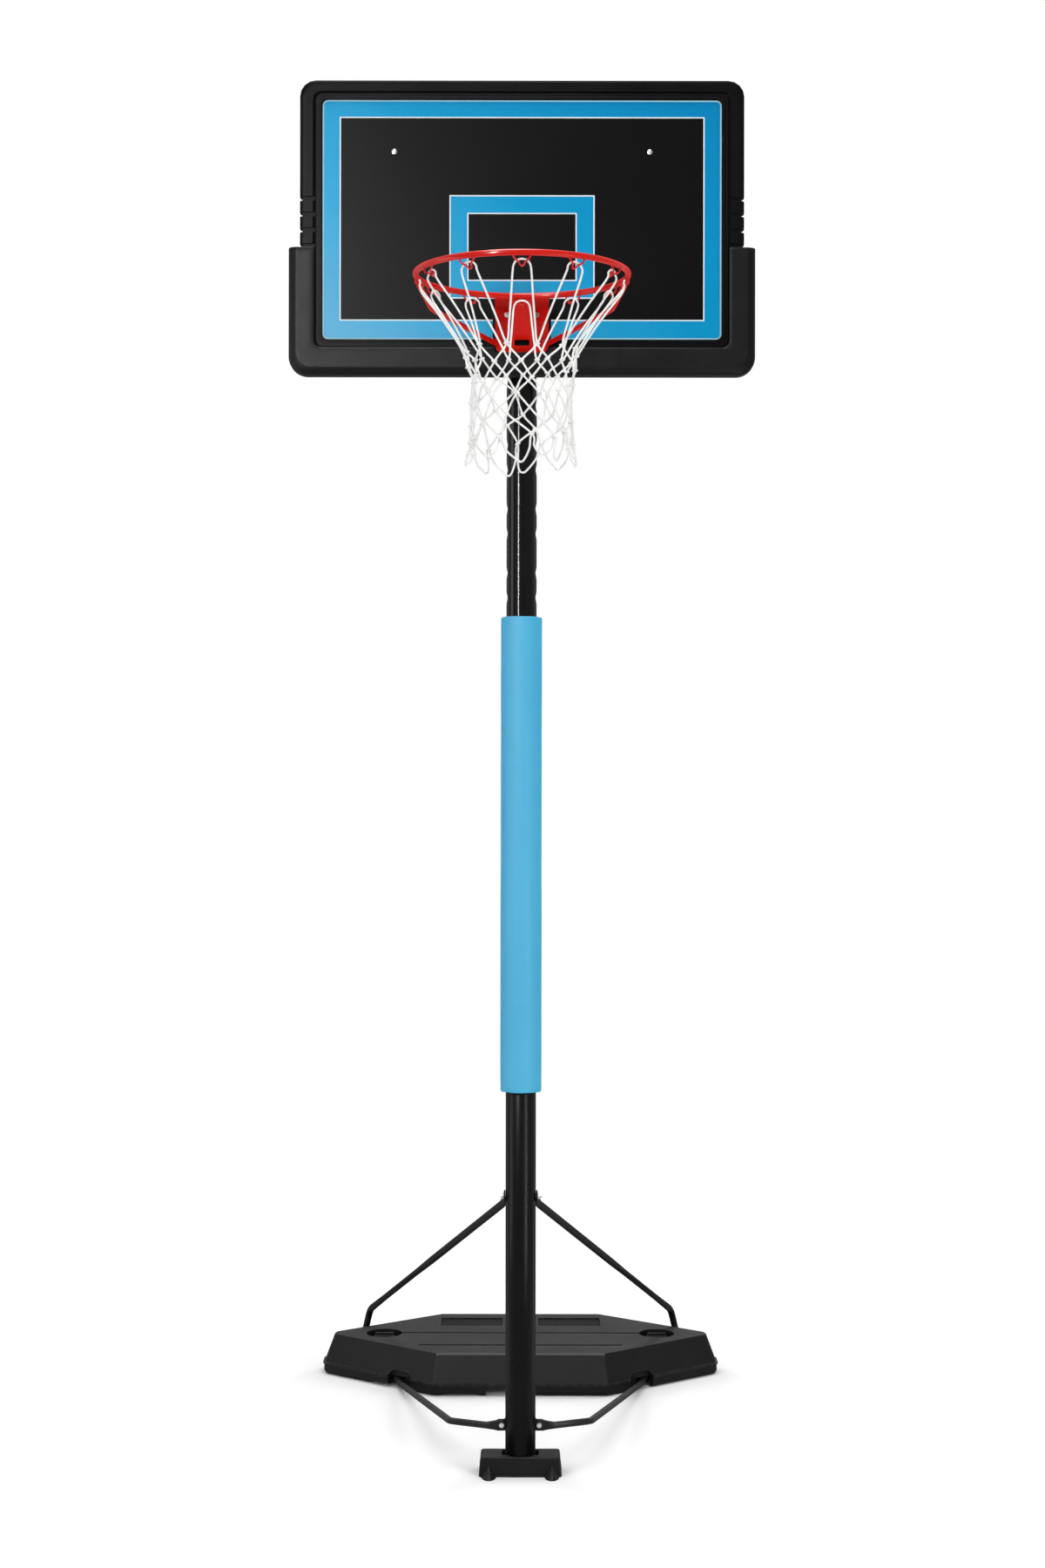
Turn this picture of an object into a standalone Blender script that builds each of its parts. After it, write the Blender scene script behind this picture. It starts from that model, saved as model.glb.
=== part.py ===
# Portable basketball stand: a telescoping pole on a foot, stayed by four struts to a ballast tank,
# with a padded middle pole, a moulded board, a steel rim with net hooks, and a cord net.
# Metres, +Z up. The pole's axis is x = y = 0, the floor is z = 0 and the court is towards -Y.
import math

import bmesh
import bpy
from mathutils import Matrix, Vector

# Fits
GAP = 0.0003                    # between neighbours that touch
BOLT_CLEARANCE = 0.0003         # round every bolt in its hole

# Poles
POLE_RADIUS = 0.0361            # lower and upper pole
POLE_WALL = 0.0018
MIDDLE_WALL = 0.0013
SLIDE_CLEARANCE = 0.0007        # poles inside the middle pole
LOWER_POLE_LENGTH = 1.044
MIDDLE_POLE_LENGTH = 1.105
UPPER_POLE_LENGTH = 1.61
LOWER_OVERLAP = 0.12            # lower pole inside the middle pole
UPPER_OVERLAP = 0.465           # upper pole inside the middle pole in the shown setting
DIMPLE_PITCH = 0.1524           # one height step
DIMPLE_DEPTH = 0.0027
DIMPLE_HALF_SPACING = 0.0293    # two dimples make one stop
DIMPLE_HALF_LENGTH = 0.017
FIRST_STOP_ABOVE_SLEEVE = 0.081  # lowest showing stop above the middle pole
STOPS_BELOW = 3
STOPS_ABOVE = 4
CAP_HEIGHT = 0.006
CAP_PLUG = 0.022

# Foot under the pole
FOOT_WIDTH = 0.197
FOOT_DEPTH = 0.085
FOOT_HEIGHT = 0.046
FOOT_TAPER = 0.0045             # each wall leans in by this at the top
FOOT_FLOOR = 0.0057
FOOT_RELIEF_WIDTH = 0.088
FOOT_RELIEF_DEPTH = 0.041
TOE_SPACING = 0.1496
TOE_RADIUS = 0.0175
TOE_HEIGHT = 0.028
TOE_REACH = 0.033               # in front of the foot

# Ballast tank
TANK_HEIGHT = 0.107
TANK_PARTING = 0.030            # height of the moulding's parting line
TANK_HALF_FRONT = 0.235
TANK_HALF_SIDE = 0.545
TANK_FRONT = 0.683
TANK_SIDE_FRONT = 0.920
TANK_SIDE_BACK = 0.980
TANK_BACK = 1.211
TANK_DRAFT = 0.0288             # what every wall leans in by at the top
TANK_LIP = 0.003
TANK_CORNER = 0.014
WELL_RADIUS = 0.050
WELL_DEPTH = 0.020
WELL_FROM_END = 0.166           # its centre inside the tank's end
WELL_Y = 0.947
GROOVE_WIDTH = 0.0035
GROOVE_DEPTH = 0.0025
CENTRE_GROOVE_Y = 0.950
FRONT_GROOVE_Y = 0.810
FRONT_GROOVE_HALF = 0.278
RECESS_INNER_X = 0.050
RECESS_OUTER_X = 0.226
RECESS_FRONT = 1.033
RECESS_BACK = 1.131
RECESS_DEPTH = 0.004
SCOOP_WIDTH = 0.084             # arched pocket in the slanted front walls
SCOOP_HEIGHT = 0.050
SCOOP_DEPTH = 0.014
TUNNEL_WIDTH = 0.036            # under the tank, for a lower strut's end
TUNNEL_HEIGHT = 0.031
NOTCH_LEFT = -0.093             # arch in the front wall
NOTCH_RIGHT = 0.030
NOTCH_HEIGHT = 0.021
NOTCH_DEPTH = 0.080
FRONT_BOW = (-0.160, 0.120, 0.007)      # low bow beside it: centre, width, height
SLANT_BOW = (-0.372, 0.128, 0.010)      # low bow in the left slanted wall
BOW_DEPTH = 0.030

# Fill caps
FILL_CAP_RADIUS = 0.029
FILL_CAP_HEIGHT = 0.015
FILL_CAP_WALL = 0.003
NECK_HEIGHT = 0.010
GRIP_BAR_WIDTH = 0.011
GRIP_BAR_HEIGHT = 0.006

# Wheels
WHEEL_RADIUS = 0.040
WHEEL_WIDTH = 0.028
WHEEL_HUB_RADIUS = 0.013
WHEEL_WEB = 0.007
WHEEL_X = 0.160
WHEEL_Y = 1.195
WHEEL_FLOOR_GAP = 0.003
WHEEL_SIDE_GAP = 0.003
AXLE_RADIUS = 0.004
AXLE_GRIP = 0.014               # axle held in the tank on each side of the wheel

# Struts
STRUT_RADIUS = 0.0093           # upper struts
LOWER_STRUT_RADIUS = 0.0085
STRUT_FLAT_HALF_WIDTH = 0.0135
STRUT_FLAT_HALF = 0.0020
STRUT_BOLT_RADIUS = 0.004
UPPER_BOLT_Z = 0.659
UPPER_BEND_INSIDE = 0.024       # the upper strut's bend, nearer the middle than its end
UPPER_BEND_Y = 1.050
UPPER_BEND_Z = 0.150
UPPER_END_INSIDE = 0.096        # that end on the tank's rear wall, inside the tank's side
UPPER_END_Z = 0.055
LOWER_JOINT_Z = 0.113
LOWER_BEND = (0.169, 0.035, 0.113)
LOWER_AT_TANK = (0.327, 0.756, 0.0165)
LOWER_END = (0.345, 0.842)
LOWER_BOLT_RADIUS = 0.003
STRAP_THICKNESS = 0.0025
STRAP_HEIGHT = 0.028
STRAP_EAR_MARGIN = 0.009        # ear past its bolt's axis

# Middle pole fittings
COLLAR_WALL = 0.0025
COLLAR_HEIGHT = 0.050
COLLAR_TOP = 0.0035
BOSS_RADIUS = 0.012
BOSS_LENGTH = 0.014
BOSS_BELOW_TOP = 0.082
KNOB_SHAFT_RADIUS = 0.005
KNOB_RADIUS = 0.021
KNOB_LOBE = 0.003
KNOB_LENGTH = 0.020
KNOB_LOBES = 6
KNOB_STANDOFF = 0.004
JOINT_BOLT_RADIUS = 0.003
JOINT_BOLT_BELOW_TOP = 0.060    # below the lower pole's top

# Pole pad
PAD_THICKNESS = 0.0110
PAD_LENGTH = 1.1295
PAD_BELOW_SLEEVE = 0.0195       # hangs past the middle pole
PAD_SLIT = 0.0030
PAD_WINDOW_WIDTH = 0.050
PAD_WINDOW_BELOW_KNOB = 0.031
CLOSURE_WIDTH = 0.034
CLOSURE_THICKNESS = 0.0015
CLOSURE_END_MARGIN = 0.020

# Backboard
BOARD_WIDTH = 1.045
BOARD_HEIGHT = 0.6695
BOARD_THICKNESS = 0.040
BOARD_ABOVE_POLE = 0.117
BOARD_CORNER = 0.037
BAND_SIDE = 0.037               # rolled outer band
BAND_TOP = 0.033
BAND_BOTTOM = 0.0395
BAND_CORNER = 0.016
LEDGE_SIDE = 0.0165             # flat inner band round the panel
LEDGE_TOP = 0.0157
LEDGE_BOTTOM = 0.0193
PANEL_CORNER = 0.010
PANEL_THICKNESS = 0.004
PANEL_RECESS = 0.003
PANEL_SLOT = 0.0015             # dark slot round the panel
BAND_GROOVE = 0.0045
GRIP_PITCH = 0.037
GRIP_NOTCH = 0.010
GRIP_NOTCH_DEPTH = 0.007
GRIP_CHANNEL_DEPTH = 0.0045
GRIP_COUNT = 4
POCKET_MARGIN = 0.046
POCKET_RIB = 0.011
POCKET_DEPTH = 0.027
POCKET_COLUMNS = 3
POCKET_CORNER = 0.012
COLUMN_HALF = 0.065             # solid middle of the board
BAR_BAND_HALF = 0.024           # solid band behind the cross bar

# Edge guard
GUARD_OUTSIDE = 0.0255
GUARD_FRONT = 0.010
GUARD_REAR = 0.008
GUARD_CORNER = 0.043
GUARD_BELOW_TOP = 0.396         # its upper ends below the board's top
GUARD_REAR_LIP = 0.024
GUARD_NOTCH_CLEARANCE = 0.0008  # round the rim bracket's foot

# Board fixings
CROSS_BAR_DEPTH = 0.020
CROSS_BAR_HEIGHT = 0.025
BAR_PAST_SCREW = 0.030          # bar beyond each screw's axis
CROSS_BAR_WALL = 0.002
BAR_BELOW_TOP = 0.170           # bar's centre below the board's top
SCREW_SPACING = 0.600
SCREW_RADIUS = 0.003
EAR_THICKNESS = 0.004
EAR_HEIGHT = 0.040
EAR_BEHIND = 0.026
PLATE_THICKNESS = 0.004
BRACKET_BOLT_RADIUS = 0.004
RIM_BOLT_RADIUS = 0.004
RIM_BOLT_SPACING = 0.070
RIM_BOLT_DROP = 0.0635
RIM_BOLT_BELOW_RING = 0.017
PLATE_MARGIN = 0.020
PLATE_CORNER = 0.008
NUT_CLEARANCE = 0.0015

# Rim
RING_BELOW_TOP = 0.537
RING_INNER_RADIUS = 0.225
RING_ROD_RADIUS = 0.0075
RING_REACH = 0.1483             # board's front to the ring's inner edge
BRACKET_WIDTH = 0.125
BRACKET_SHEET = 0.0035
BRACKET_BELOW_RING = 0.105
BRACKET_CORNER = 0.014
GUSSET_WIDTH = 0.048
GUSSET_RUN = 0.121
GUSSET_DROP = 0.097
GUSSET_SLOT_WIDTH = 0.035
GUSSET_SLOT_HEIGHT = 0.012
BRACE_RADIUS = 0.0062
BRACE_RING_ANGLE = 13.7         # degrees from the ring's side
BRACE_BEND = (0.2005, 0.266, 0.0558)    # out, in front of the board, below the ring
BRACE_END_X = 0.049
BRACE_END_BELOW_RING = 0.0845
HOOK_COUNT = 12
HOOK_WIRE = 0.002
HOOK_LEG = 0.018
HOOK_BEND = 0.0105
HOOK_DROP = 0.0083
HOOK_TONGUE_REACH = 0.016
HOOK_TONGUE_DROP = 0.0085

# Net
CORD = 0.005
NET_HANG_HALF = 0.0118          # half the cord's width over a hook
NET_HANG_DROP = 0.0155
NET_HANG_IN = 0.0065
NET_ROWS = (                    # drop below the ring's centre, radius
    (0.170, 0.127),
    (0.199, 0.119),
    (0.235, 0.112),
    (0.270, 0.110),
    (0.305, 0.111),
    (0.341, 0.113),
    (0.368, 0.117),
    (0.426, 0.127),
)
NET_LEG_STEPS = 3

# Fasteners
HEAD_TO_BOLT = 1.9              # hexagon's corner radius over the bolt's radius
HEAD_HEIGHT_TO_BOLT = 1.75      # washer and head together
BOLT_TAIL = 0.003

# Heights and planes that follow
LOWER_POLE_BOTTOM = FOOT_FLOOR + GAP
LOWER_POLE_TOP = LOWER_POLE_BOTTOM + LOWER_POLE_LENGTH
SLEEVE_BOTTOM = LOWER_POLE_TOP - LOWER_OVERLAP
SLEEVE_TOP = SLEEVE_BOTTOM + MIDDLE_POLE_LENGTH
SLEEVE_INNER = POLE_RADIUS + SLIDE_CLEARANCE
SLEEVE_OUTER = SLEEVE_INNER + MIDDLE_WALL
UPPER_POLE_BOTTOM = SLEEVE_TOP - UPPER_OVERLAP
POLE_TOP = UPPER_POLE_BOTTOM + UPPER_POLE_LENGTH
BOARD_TOP = POLE_TOP + BOARD_ABOVE_POLE
BOARD_BOTTOM = BOARD_TOP - BOARD_HEIGHT
BOARD_REAR_Y = -(POLE_RADIUS + GAP + CROSS_BAR_DEPTH + GAP)
BOARD_FRONT_Y = BOARD_REAR_Y - BOARD_THICKNESS
PANEL_FRONT_Y = BOARD_FRONT_Y + PANEL_RECESS
PANEL_REAR_Y = PANEL_FRONT_Y + PANEL_THICKNESS
SEAT_Y = PANEL_REAR_Y + GAP
BAR_Z = BOARD_TOP - BAR_BELOW_TOP
GUARD_TOP = BOARD_TOP - GUARD_BELOW_TOP
RING_Z = BOARD_TOP - RING_BELOW_TOP
RING_RADIUS = RING_INNER_RADIUS + RING_ROD_RADIUS
RING_Y = BOARD_FRONT_Y - RING_REACH - RING_INNER_RADIUS
BRACKET_REAR_Y = BOARD_FRONT_Y - GAP
BRACKET_FRONT_Y = BRACKET_REAR_Y - BRACKET_SHEET
BRACKET_TOP_Z = RING_Z
UPPER_RIM_BOLT_Z = RING_Z - RIM_BOLT_BELOW_RING
LOWER_RIM_BOLT_Z = UPPER_RIM_BOLT_Z - RIM_BOLT_DROP
WHEEL_Z = WHEEL_RADIUS + WHEEL_FLOOR_GAP
WELL_X = TANK_HALF_SIDE - WELL_FROM_END
CROSS_BAR_WIDTH = SCREW_SPACING + 2 * BAR_PAST_SCREW
UPPER_END_X = TANK_HALF_SIDE - UPPER_END_INSIDE
UPPER_BEND = (UPPER_END_X - UPPER_BEND_INSIDE, UPPER_BEND_Y, UPPER_BEND_Z)
KNOB_Z = SLEEVE_TOP - BOSS_BELOW_TOP
PAD_WINDOW_BOTTOM = KNOB_Z - PAD_WINDOW_BELOW_KNOB

PARTS = None
CUTTERS = None


def clear_scene():
    for item in list(bpy.data.objects):
        bpy.data.objects.remove(item, do_unlink=True)


def make_collections():
    global PARTS, CUTTERS
    PARTS = bpy.data.collections.new("basketball_stand")
    CUTTERS = bpy.data.collections.new("cutters")
    bpy.context.scene.collection.children.link(PARTS)
    bpy.context.scene.collection.children.link(CUTTERS)


def finish(name, colour, roughness, metallic):
    material = bpy.data.materials.new(name)
    material.use_nodes = True
    shader = material.node_tree.nodes["Principled BSDF"]
    shader.inputs["Base Color"].default_value = (*colour, 1.0)
    shader.inputs["Roughness"].default_value = roughness
    shader.inputs["Metallic"].default_value = metallic
    return material


FINISHES = {
    "powder black": ((0.012, 0.012, 0.012), 0.35, 0.0),
    "gloss black": ((0.008, 0.008, 0.008), 0.16, 0.0),
    "moulded black": ((0.015, 0.015, 0.016), 0.5, 0.0),
    "foam black": ((0.022, 0.022, 0.022), 0.6, 0.0),
    "board panel": ((0.014, 0.014, 0.015), 0.35, 0.0),
    "pad blue": ((0.10, 0.42, 0.70), 0.55, 0.0),
    "closure blue": ((0.06, 0.28, 0.50), 0.8, 0.0),
    "rim red": ((0.62, 0.020, 0.012), 0.2, 0.0),
    "zinc": ((0.62, 0.62, 0.64), 0.28, 1.0),
    "net white": ((0.90, 0.90, 0.88), 0.8, 0.0),
    "wheel grey": ((0.03, 0.03, 0.03), 0.65, 0.0),
}


def add_part(name, data, look):
    part = bpy.data.objects.new(name, data)
    data.materials.append(finish(name, *FINISHES[look]))
    PARTS.objects.link(part)
    return part


def add_cutter(name, mesh):
    cutter = bpy.data.objects.new(name, mesh)
    cutter.hide_render = True
    cutter.display_type = "WIRE"
    CUTTERS.objects.link(cutter)
    return cutter


def boolean(part, cutter, operation="DIFFERENCE"):
    modifier = part.modifiers.new(cutter.name, "BOOLEAN")
    modifier.operation = operation
    modifier.solver = "EXACT"
    modifier.object = cutter
    return part


def smooth(mesh, angle=35):
    mesh.shade_smooth()
    mesh.set_sharp_from_angle(angle=math.radians(angle))


def mesh_of(name, build, angle=35):
    shape = bmesh.new()
    build(shape)
    bmesh.ops.recalc_face_normals(shape, faces=shape.faces)
    mesh = bpy.data.meshes.new(name)
    shape.to_mesh(mesh)
    shape.free()
    smooth(mesh, angle)
    return mesh


def loft_mesh(name, rings, angle=35):
    def build(shape):
        rows = [[shape.verts.new(point) for point in ring] for ring in rings]
        for low, high in zip(rows, rows[1:]):
            for i in range(len(low)):
                j = (i + 1) % len(low)
                shape.faces.new((low[i], low[j], high[j], high[i]))
        shape.faces.new(rows[0])
        shape.faces.new(rows[-1])

    return mesh_of(name, build, angle)


def boxes_mesh(name, ranges):
    def build(shape):
        for low, high in ranges:
            low, high = Vector(low), Vector(high)
            place = Matrix.Translation((low + high) / 2)
            size = Matrix.Diagonal((*(high - low), 1.0))
            bmesh.ops.create_cube(shape, size=1.0, matrix=place @ size)

    return mesh_of(name, build)


def rods_mesh(name, spans, radius, segments=12):
    def build(shape):
        for start, end in spans:
            start, end = Vector(start), Vector(end)
            turn = (end - start).to_track_quat("Z", "Y").to_matrix().to_4x4()
            bmesh.ops.create_cone(
                shape, cap_ends=True, segments=segments, radius1=radius, radius2=radius,
                depth=(end - start).length, matrix=Matrix.Translation((start + end) / 2) @ turn)

    return mesh_of(name, build)


def arc(centre, radius, start, end, steps):
    """Points on a circle from one angle to another, in degrees."""
    points = []
    for i in range(steps + 1):
        angle = math.radians(start + (end - start) * i / steps)
        points.append((centre[0] + radius * math.cos(angle), centre[1] + radius * math.sin(angle)))
    return points


def rounded(corners, radius, steps=3):
    """The outline through the corners, each turned into an arc of the radius."""
    points = []
    for i, corner in enumerate(corners):
        here = Vector(corner)
        back = (Vector(corners[i - 1]) - here).normalized()
        on = (Vector(corners[(i + 1) % len(corners)]) - here).normalized()
        half = back.angle(on) / 2
        centre = here + (back + on).normalized() * (radius / math.sin(half))
        first = here + back * (radius / math.tan(half)) - centre
        last = here + on * (radius / math.tan(half)) - centre
        sweep = first.angle(last)
        for k in range(steps + 1):
            share = k / steps
            blend = first * math.sin((1 - share) * sweep) + last * math.sin(share * sweep)
            points.append(tuple(centre + blend / math.sin(sweep)))
    return points


def mesh_from(curve, name):
    """The mesh a curve makes, with its caps welded on."""
    helper = bpy.data.objects.new(name, curve)
    CUTTERS.objects.link(helper)
    bpy.context.view_layer.update()
    scene = bpy.context.evaluated_depsgraph_get()
    mesh = bpy.data.meshes.new_from_object(helper.evaluated_get(scene))
    bpy.data.objects.remove(helper)
    mesh.name = name
    shape = bmesh.new()
    shape.from_mesh(mesh)
    bmesh.ops.remove_doubles(shape, verts=shape.verts, dist=0.00002)
    bmesh.ops.recalc_face_normals(shape, faces=shape.faces)
    shape.to_mesh(mesh)
    shape.free()
    return mesh


def plate_mesh(name, outlines, thickness, place):
    """Flat outlines, thickened about their own plane and put in place by a matrix."""
    curve = bpy.data.curves.new(name, "CURVE")
    curve.dimensions = "2D"
    curve.fill_mode = "BOTH"
    curve.extrude = thickness / 2
    for outline in outlines:
        spline = curve.splines.new("POLY")
        spline.points.add(len(outline) - 1)
        for point, (x, y) in zip(spline.points, outline):
            point.co = (x, y, 0.0, 1.0)
        spline.use_cyclic_u = True
    mesh = mesh_from(curve, name)
    mesh.transform(place)
    smooth(mesh)
    return mesh


def lying(z):
    """Places an outline drawn in x, y at a height."""
    return Matrix.Translation((0, 0, z))


def facing(y):
    """Places an outline drawn in x, z at a depth."""
    return Matrix.Translation((0, y, 0)) @ Matrix.Rotation(math.radians(90), 4, "X")


def sideways(x):
    """Places an outline drawn in y, z at a distance to the side."""
    turn = Matrix(((0, 0, 1, 0), (1, 0, 0, 0), (0, 1, 0, 0), (0, 0, 0, 1)))
    return Matrix.Translation((x, 0, 0)) @ turn


def turned(name, profile, look, segments, closed=False):
    """A lathe shape about its own Z: radius and height pairs, down the outer side."""
    mesh = bpy.data.meshes.new(name)
    edges = [(i, i + 1) for i in range(len(profile) - 1)]
    if closed:
        edges.append((len(profile) - 1, 0))
    mesh.from_pydata([(radius, 0.0, height) for radius, height in profile], edges, [])
    part = add_part(name, mesh, look)
    screw = part.modifiers.new("Turn", "SCREW")
    screw.steps = segments
    screw.render_steps = segments
    screw.use_merge_vertices = True
    screw.merge_threshold = 0.00005
    screw.use_smooth_shade = True
    return part


def wires_mesh(name, routes, radius, resolution=1):
    curve = bpy.data.curves.new(name, "CURVE")
    curve.dimensions = "3D"
    curve.bevel_depth = radius
    curve.bevel_resolution = resolution
    curve.use_fill_caps = True
    for route in routes:
        spline = curve.splines.new("POLY")
        spline.points.add(len(route) - 1)
        for point, place in zip(spline.points, route):
            point.co = (*place, 1.0)
    mesh = mesh_from(curve, name)
    smooth(mesh)
    return mesh


def tube_ring(centre, along, thin, half_width, half_thin, sides):
    """One section of a tube, pressed flat where the two halves differ."""
    along = along.normalized()
    thin = (thin - along * thin.dot(along)).normalized()
    wide = along.cross(thin)
    ring = []
    for i in range(sides):
        angle = 2 * math.pi * i / sides
        up = math.sin(angle)
        if half_width > half_thin * 1.5:
            up = max(-1.0, min(1.0, 2 * up))
        ring.append(centre + wide * half_width * math.cos(angle) + thin * half_thin * up)
    return ring


def tube_mesh(name, stations, sides=10):
    """A bent tube; each station is its centre, its thin direction and its two half sizes."""
    rings = []
    for i, (centre, thin, half_width, half_thin) in enumerate(stations):
        before = Vector(stations[max(i - 1, 0)][0])
        after = Vector(stations[min(i + 1, len(stations) - 1)][0])
        here = Vector(centre)
        along = (here - before).normalized() + (after - here).normalized()
        rings.append(tube_ring(here, along, Vector(thin), half_width, half_thin, sides))
    return loft_mesh(name, rings)


def mirrored(mesh, name):
    """The same mesh on the other side of the stand."""
    copy = mesh.copy()
    copy.name = name
    copy.transform(Matrix.Scale(-1, 4, (1, 0, 0)))
    copy.flip_normals()
    return copy


def hex_rings(start, direction, stations):
    """Hexagons along an axis, each given as a distance and a corner radius."""
    along = Vector(direction).normalized()
    side = along.orthogonal().normalized()
    up = along.cross(side)
    rings = []
    for distance, radius in stations:
        turns = [math.pi * i / 3 for i in range(6)]
        rings.append([Vector(start) + along * distance
                      + (side * math.cos(turn) + up * math.sin(turn)) * radius for turn in turns])
    return rings


def hex_bolt(start, direction, grip, radius):
    """Head, shank and nut on one axis; start is where the grip begins."""
    head = radius * HEAD_TO_BOLT
    tall = radius * HEAD_HEIGHT_TO_BOLT
    under = -GAP
    over = grip + GAP
    tail = over + tall + BOLT_TAIL
    return hex_rings(start, direction, (
        (under - tall, head), (under, head), (under, radius), (over, radius),
        (over, head), (over + tall, head), (over + tall, radius), (tail, radius)))


def hex_screw(start, direction, length, radius):
    """Head and shank only, for a screw that ends in what it holds."""
    head = radius * HEAD_TO_BOLT
    tall = radius * HEAD_HEIGHT_TO_BOLT
    return hex_rings(start, direction, (
        (-GAP - tall, head), (-GAP, head), (-GAP, radius), (length, radius)))


def fastener(name, rings):
    return add_part(name, loft_mesh(name, rings), "zinc")


def ring_profile(inner, outer, bottom, top):
    return [(outer, top), (outer, bottom), (inner, bottom), (inner, top)]


# Poles and what is on them

def build_poles():
    lower = turned("lower_pole", ring_profile(POLE_RADIUS - POLE_WALL, POLE_RADIUS,
                   LOWER_POLE_BOTTOM, LOWER_POLE_TOP), "powder black", 24, closed=True)
    middle = turned("middle_pole", ring_profile(SLEEVE_INNER, SLEEVE_OUTER, SLEEVE_BOTTOM,
                    SLEEVE_TOP), "powder black", 24, closed=True)
    joint_z = LOWER_POLE_TOP - JOINT_BOLT_BELOW_TOP
    reach = SLEEVE_OUTER * 2
    strut_hole = add_cutter("strut_bolt_hole", rods_mesh("strut_bolt_hole", [
        ((-reach, 0, UPPER_BOLT_Z), (reach, 0, UPPER_BOLT_Z))], STRUT_BOLT_RADIUS + BOLT_CLEARANCE))
    joint_hole = add_cutter("joint_bolt_hole", rods_mesh("joint_bolt_hole", [
        ((-reach, 0, joint_z), (reach, 0, joint_z))], JOINT_BOLT_RADIUS + BOLT_CLEARANCE))
    boolean(lower, strut_hole)
    boolean(lower, joint_hole)
    boolean(middle, joint_hole)
    knob_hole = add_cutter("knob_hole", rods_mesh(
        "knob_hole", [((0, 0, KNOB_Z), (0, reach, KNOB_Z))], KNOB_SHAFT_RADIUS + BOLT_CLEARANCE))
    boolean(middle, knob_hole)
    build_upper_pole()
    inner = POLE_RADIUS - POLE_WALL - GAP
    turned("pole_cap", [
        (0, POLE_TOP + CAP_HEIGHT), (POLE_RADIUS * 0.75, POLE_TOP + CAP_HEIGHT * 0.85),
        (POLE_RADIUS, POLE_TOP + CAP_HEIGHT * 0.4), (POLE_RADIUS, POLE_TOP + GAP),
        (inner, POLE_TOP + GAP), (inner * 0.97, POLE_TOP - CAP_PLUG), (0, POLE_TOP - CAP_PLUG),
    ], "moulded black", 16)
    sleeve_skin = SLEEVE_OUTER + GAP
    collar_base = SLEEVE_TOP - COLLAR_HEIGHT
    turned("guide_collar", [
        (sleeve_skin + COLLAR_WALL * 0.6, SLEEVE_TOP + GAP + COLLAR_TOP),
        (sleeve_skin + COLLAR_WALL, SLEEVE_TOP + GAP + COLLAR_TOP * 0.5),
        (sleeve_skin + COLLAR_WALL, collar_base),
        (sleeve_skin, collar_base), (sleeve_skin, SLEEVE_TOP + GAP),
        (SLEEVE_INNER, SLEEVE_TOP + GAP), (SLEEVE_INNER, SLEEVE_TOP + GAP + COLLAR_TOP),
    ], "moulded black", 24, closed=True)
    fastener("pole_joint_bolt", hex_bolt((-SLEEVE_OUTER, 0, joint_z), (1, 0, 0), 2 * SLEEVE_OUTER,
                                         JOINT_BOLT_RADIUS))
    build_lock()


def dimple(height, stops):
    """How deep the sides are pressed in at a height: nothing, or a cosine hollow."""
    deepest = 0.0
    for stop in stops:
        for centre in (stop - DIMPLE_HALF_SPACING, stop + DIMPLE_HALF_SPACING):
            away = abs(height - centre) / DIMPLE_HALF_LENGTH
            if away < 1:
                deepest = max(deepest, DIMPLE_DEPTH * (0.5 + 0.5 * math.cos(math.pi * away)))
    return deepest


def build_upper_pole():
    stops = [SLEEVE_TOP + FIRST_STOP_ABOVE_SLEEVE + DIMPLE_PITCH * i
             for i in range(-STOPS_BELOW, STOPS_ABOVE)]
    heights = [UPPER_POLE_BOTTOM]
    for stop in stops:
        for centre in (stop - DIMPLE_HALF_SPACING, stop + DIMPLE_HALF_SPACING):
            heights += [centre - DIMPLE_HALF_LENGTH, centre, centre + DIMPLE_HALF_LENGTH]
    heights.append(POLE_TOP)
    sides = 16
    rings = []
    for height in heights:
        ring = []
        for i in range(sides):
            angle = 2 * math.pi * i / sides
            pressed = POLE_RADIUS - dimple(height, stops)
            x = POLE_RADIUS * math.cos(angle)
            ring.append((max(-pressed, min(pressed, x)), POLE_RADIUS * math.sin(angle), height))
        rings.append(ring)
    pole = add_part("upper_pole", loft_mesh("upper_pole", rings, 50), "gloss black")
    bore = POLE_RADIUS - POLE_WALL - DIMPLE_DEPTH
    margin = POLE_WALL
    plug_bore = POLE_RADIUS - POLE_WALL
    cap_seat = POLE_TOP - CAP_PLUG - GAP
    cutter = loft_mesh("upper_pole_bore", [
        [(bore * math.cos(a), bore * math.sin(a), z) for a in
         [2 * math.pi * i / sides for i in range(sides)]]
        for z in (UPPER_POLE_BOTTOM - margin, cap_seat)])
    boolean(pole, add_cutter("upper_pole_bore", cutter))
    mouth = loft_mesh("upper_pole_mouth", [
        [(plug_bore * math.cos(a), plug_bore * math.sin(a), z) for a in
         [2 * math.pi * i / sides for i in range(sides)]]
        for z in (cap_seat - margin, POLE_TOP + margin)])
    boolean(pole, add_cutter("upper_pole_mouth", mouth))
    reach = POLE_RADIUS * 2
    hole = BRACKET_BOLT_RADIUS + BOLT_CLEARANCE
    spans = [((-reach, 0, z), (reach, 0, z)) for z in (BAR_Z, bracket_bolt_height())]
    boolean(pole, add_cutter("upper_pole_holes", rods_mesh("upper_pole_holes", spans, hole)))


def bracket_bolt_height():
    return (UPPER_RIM_BOLT_Z + LOWER_RIM_BOLT_Z) / 2


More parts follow.
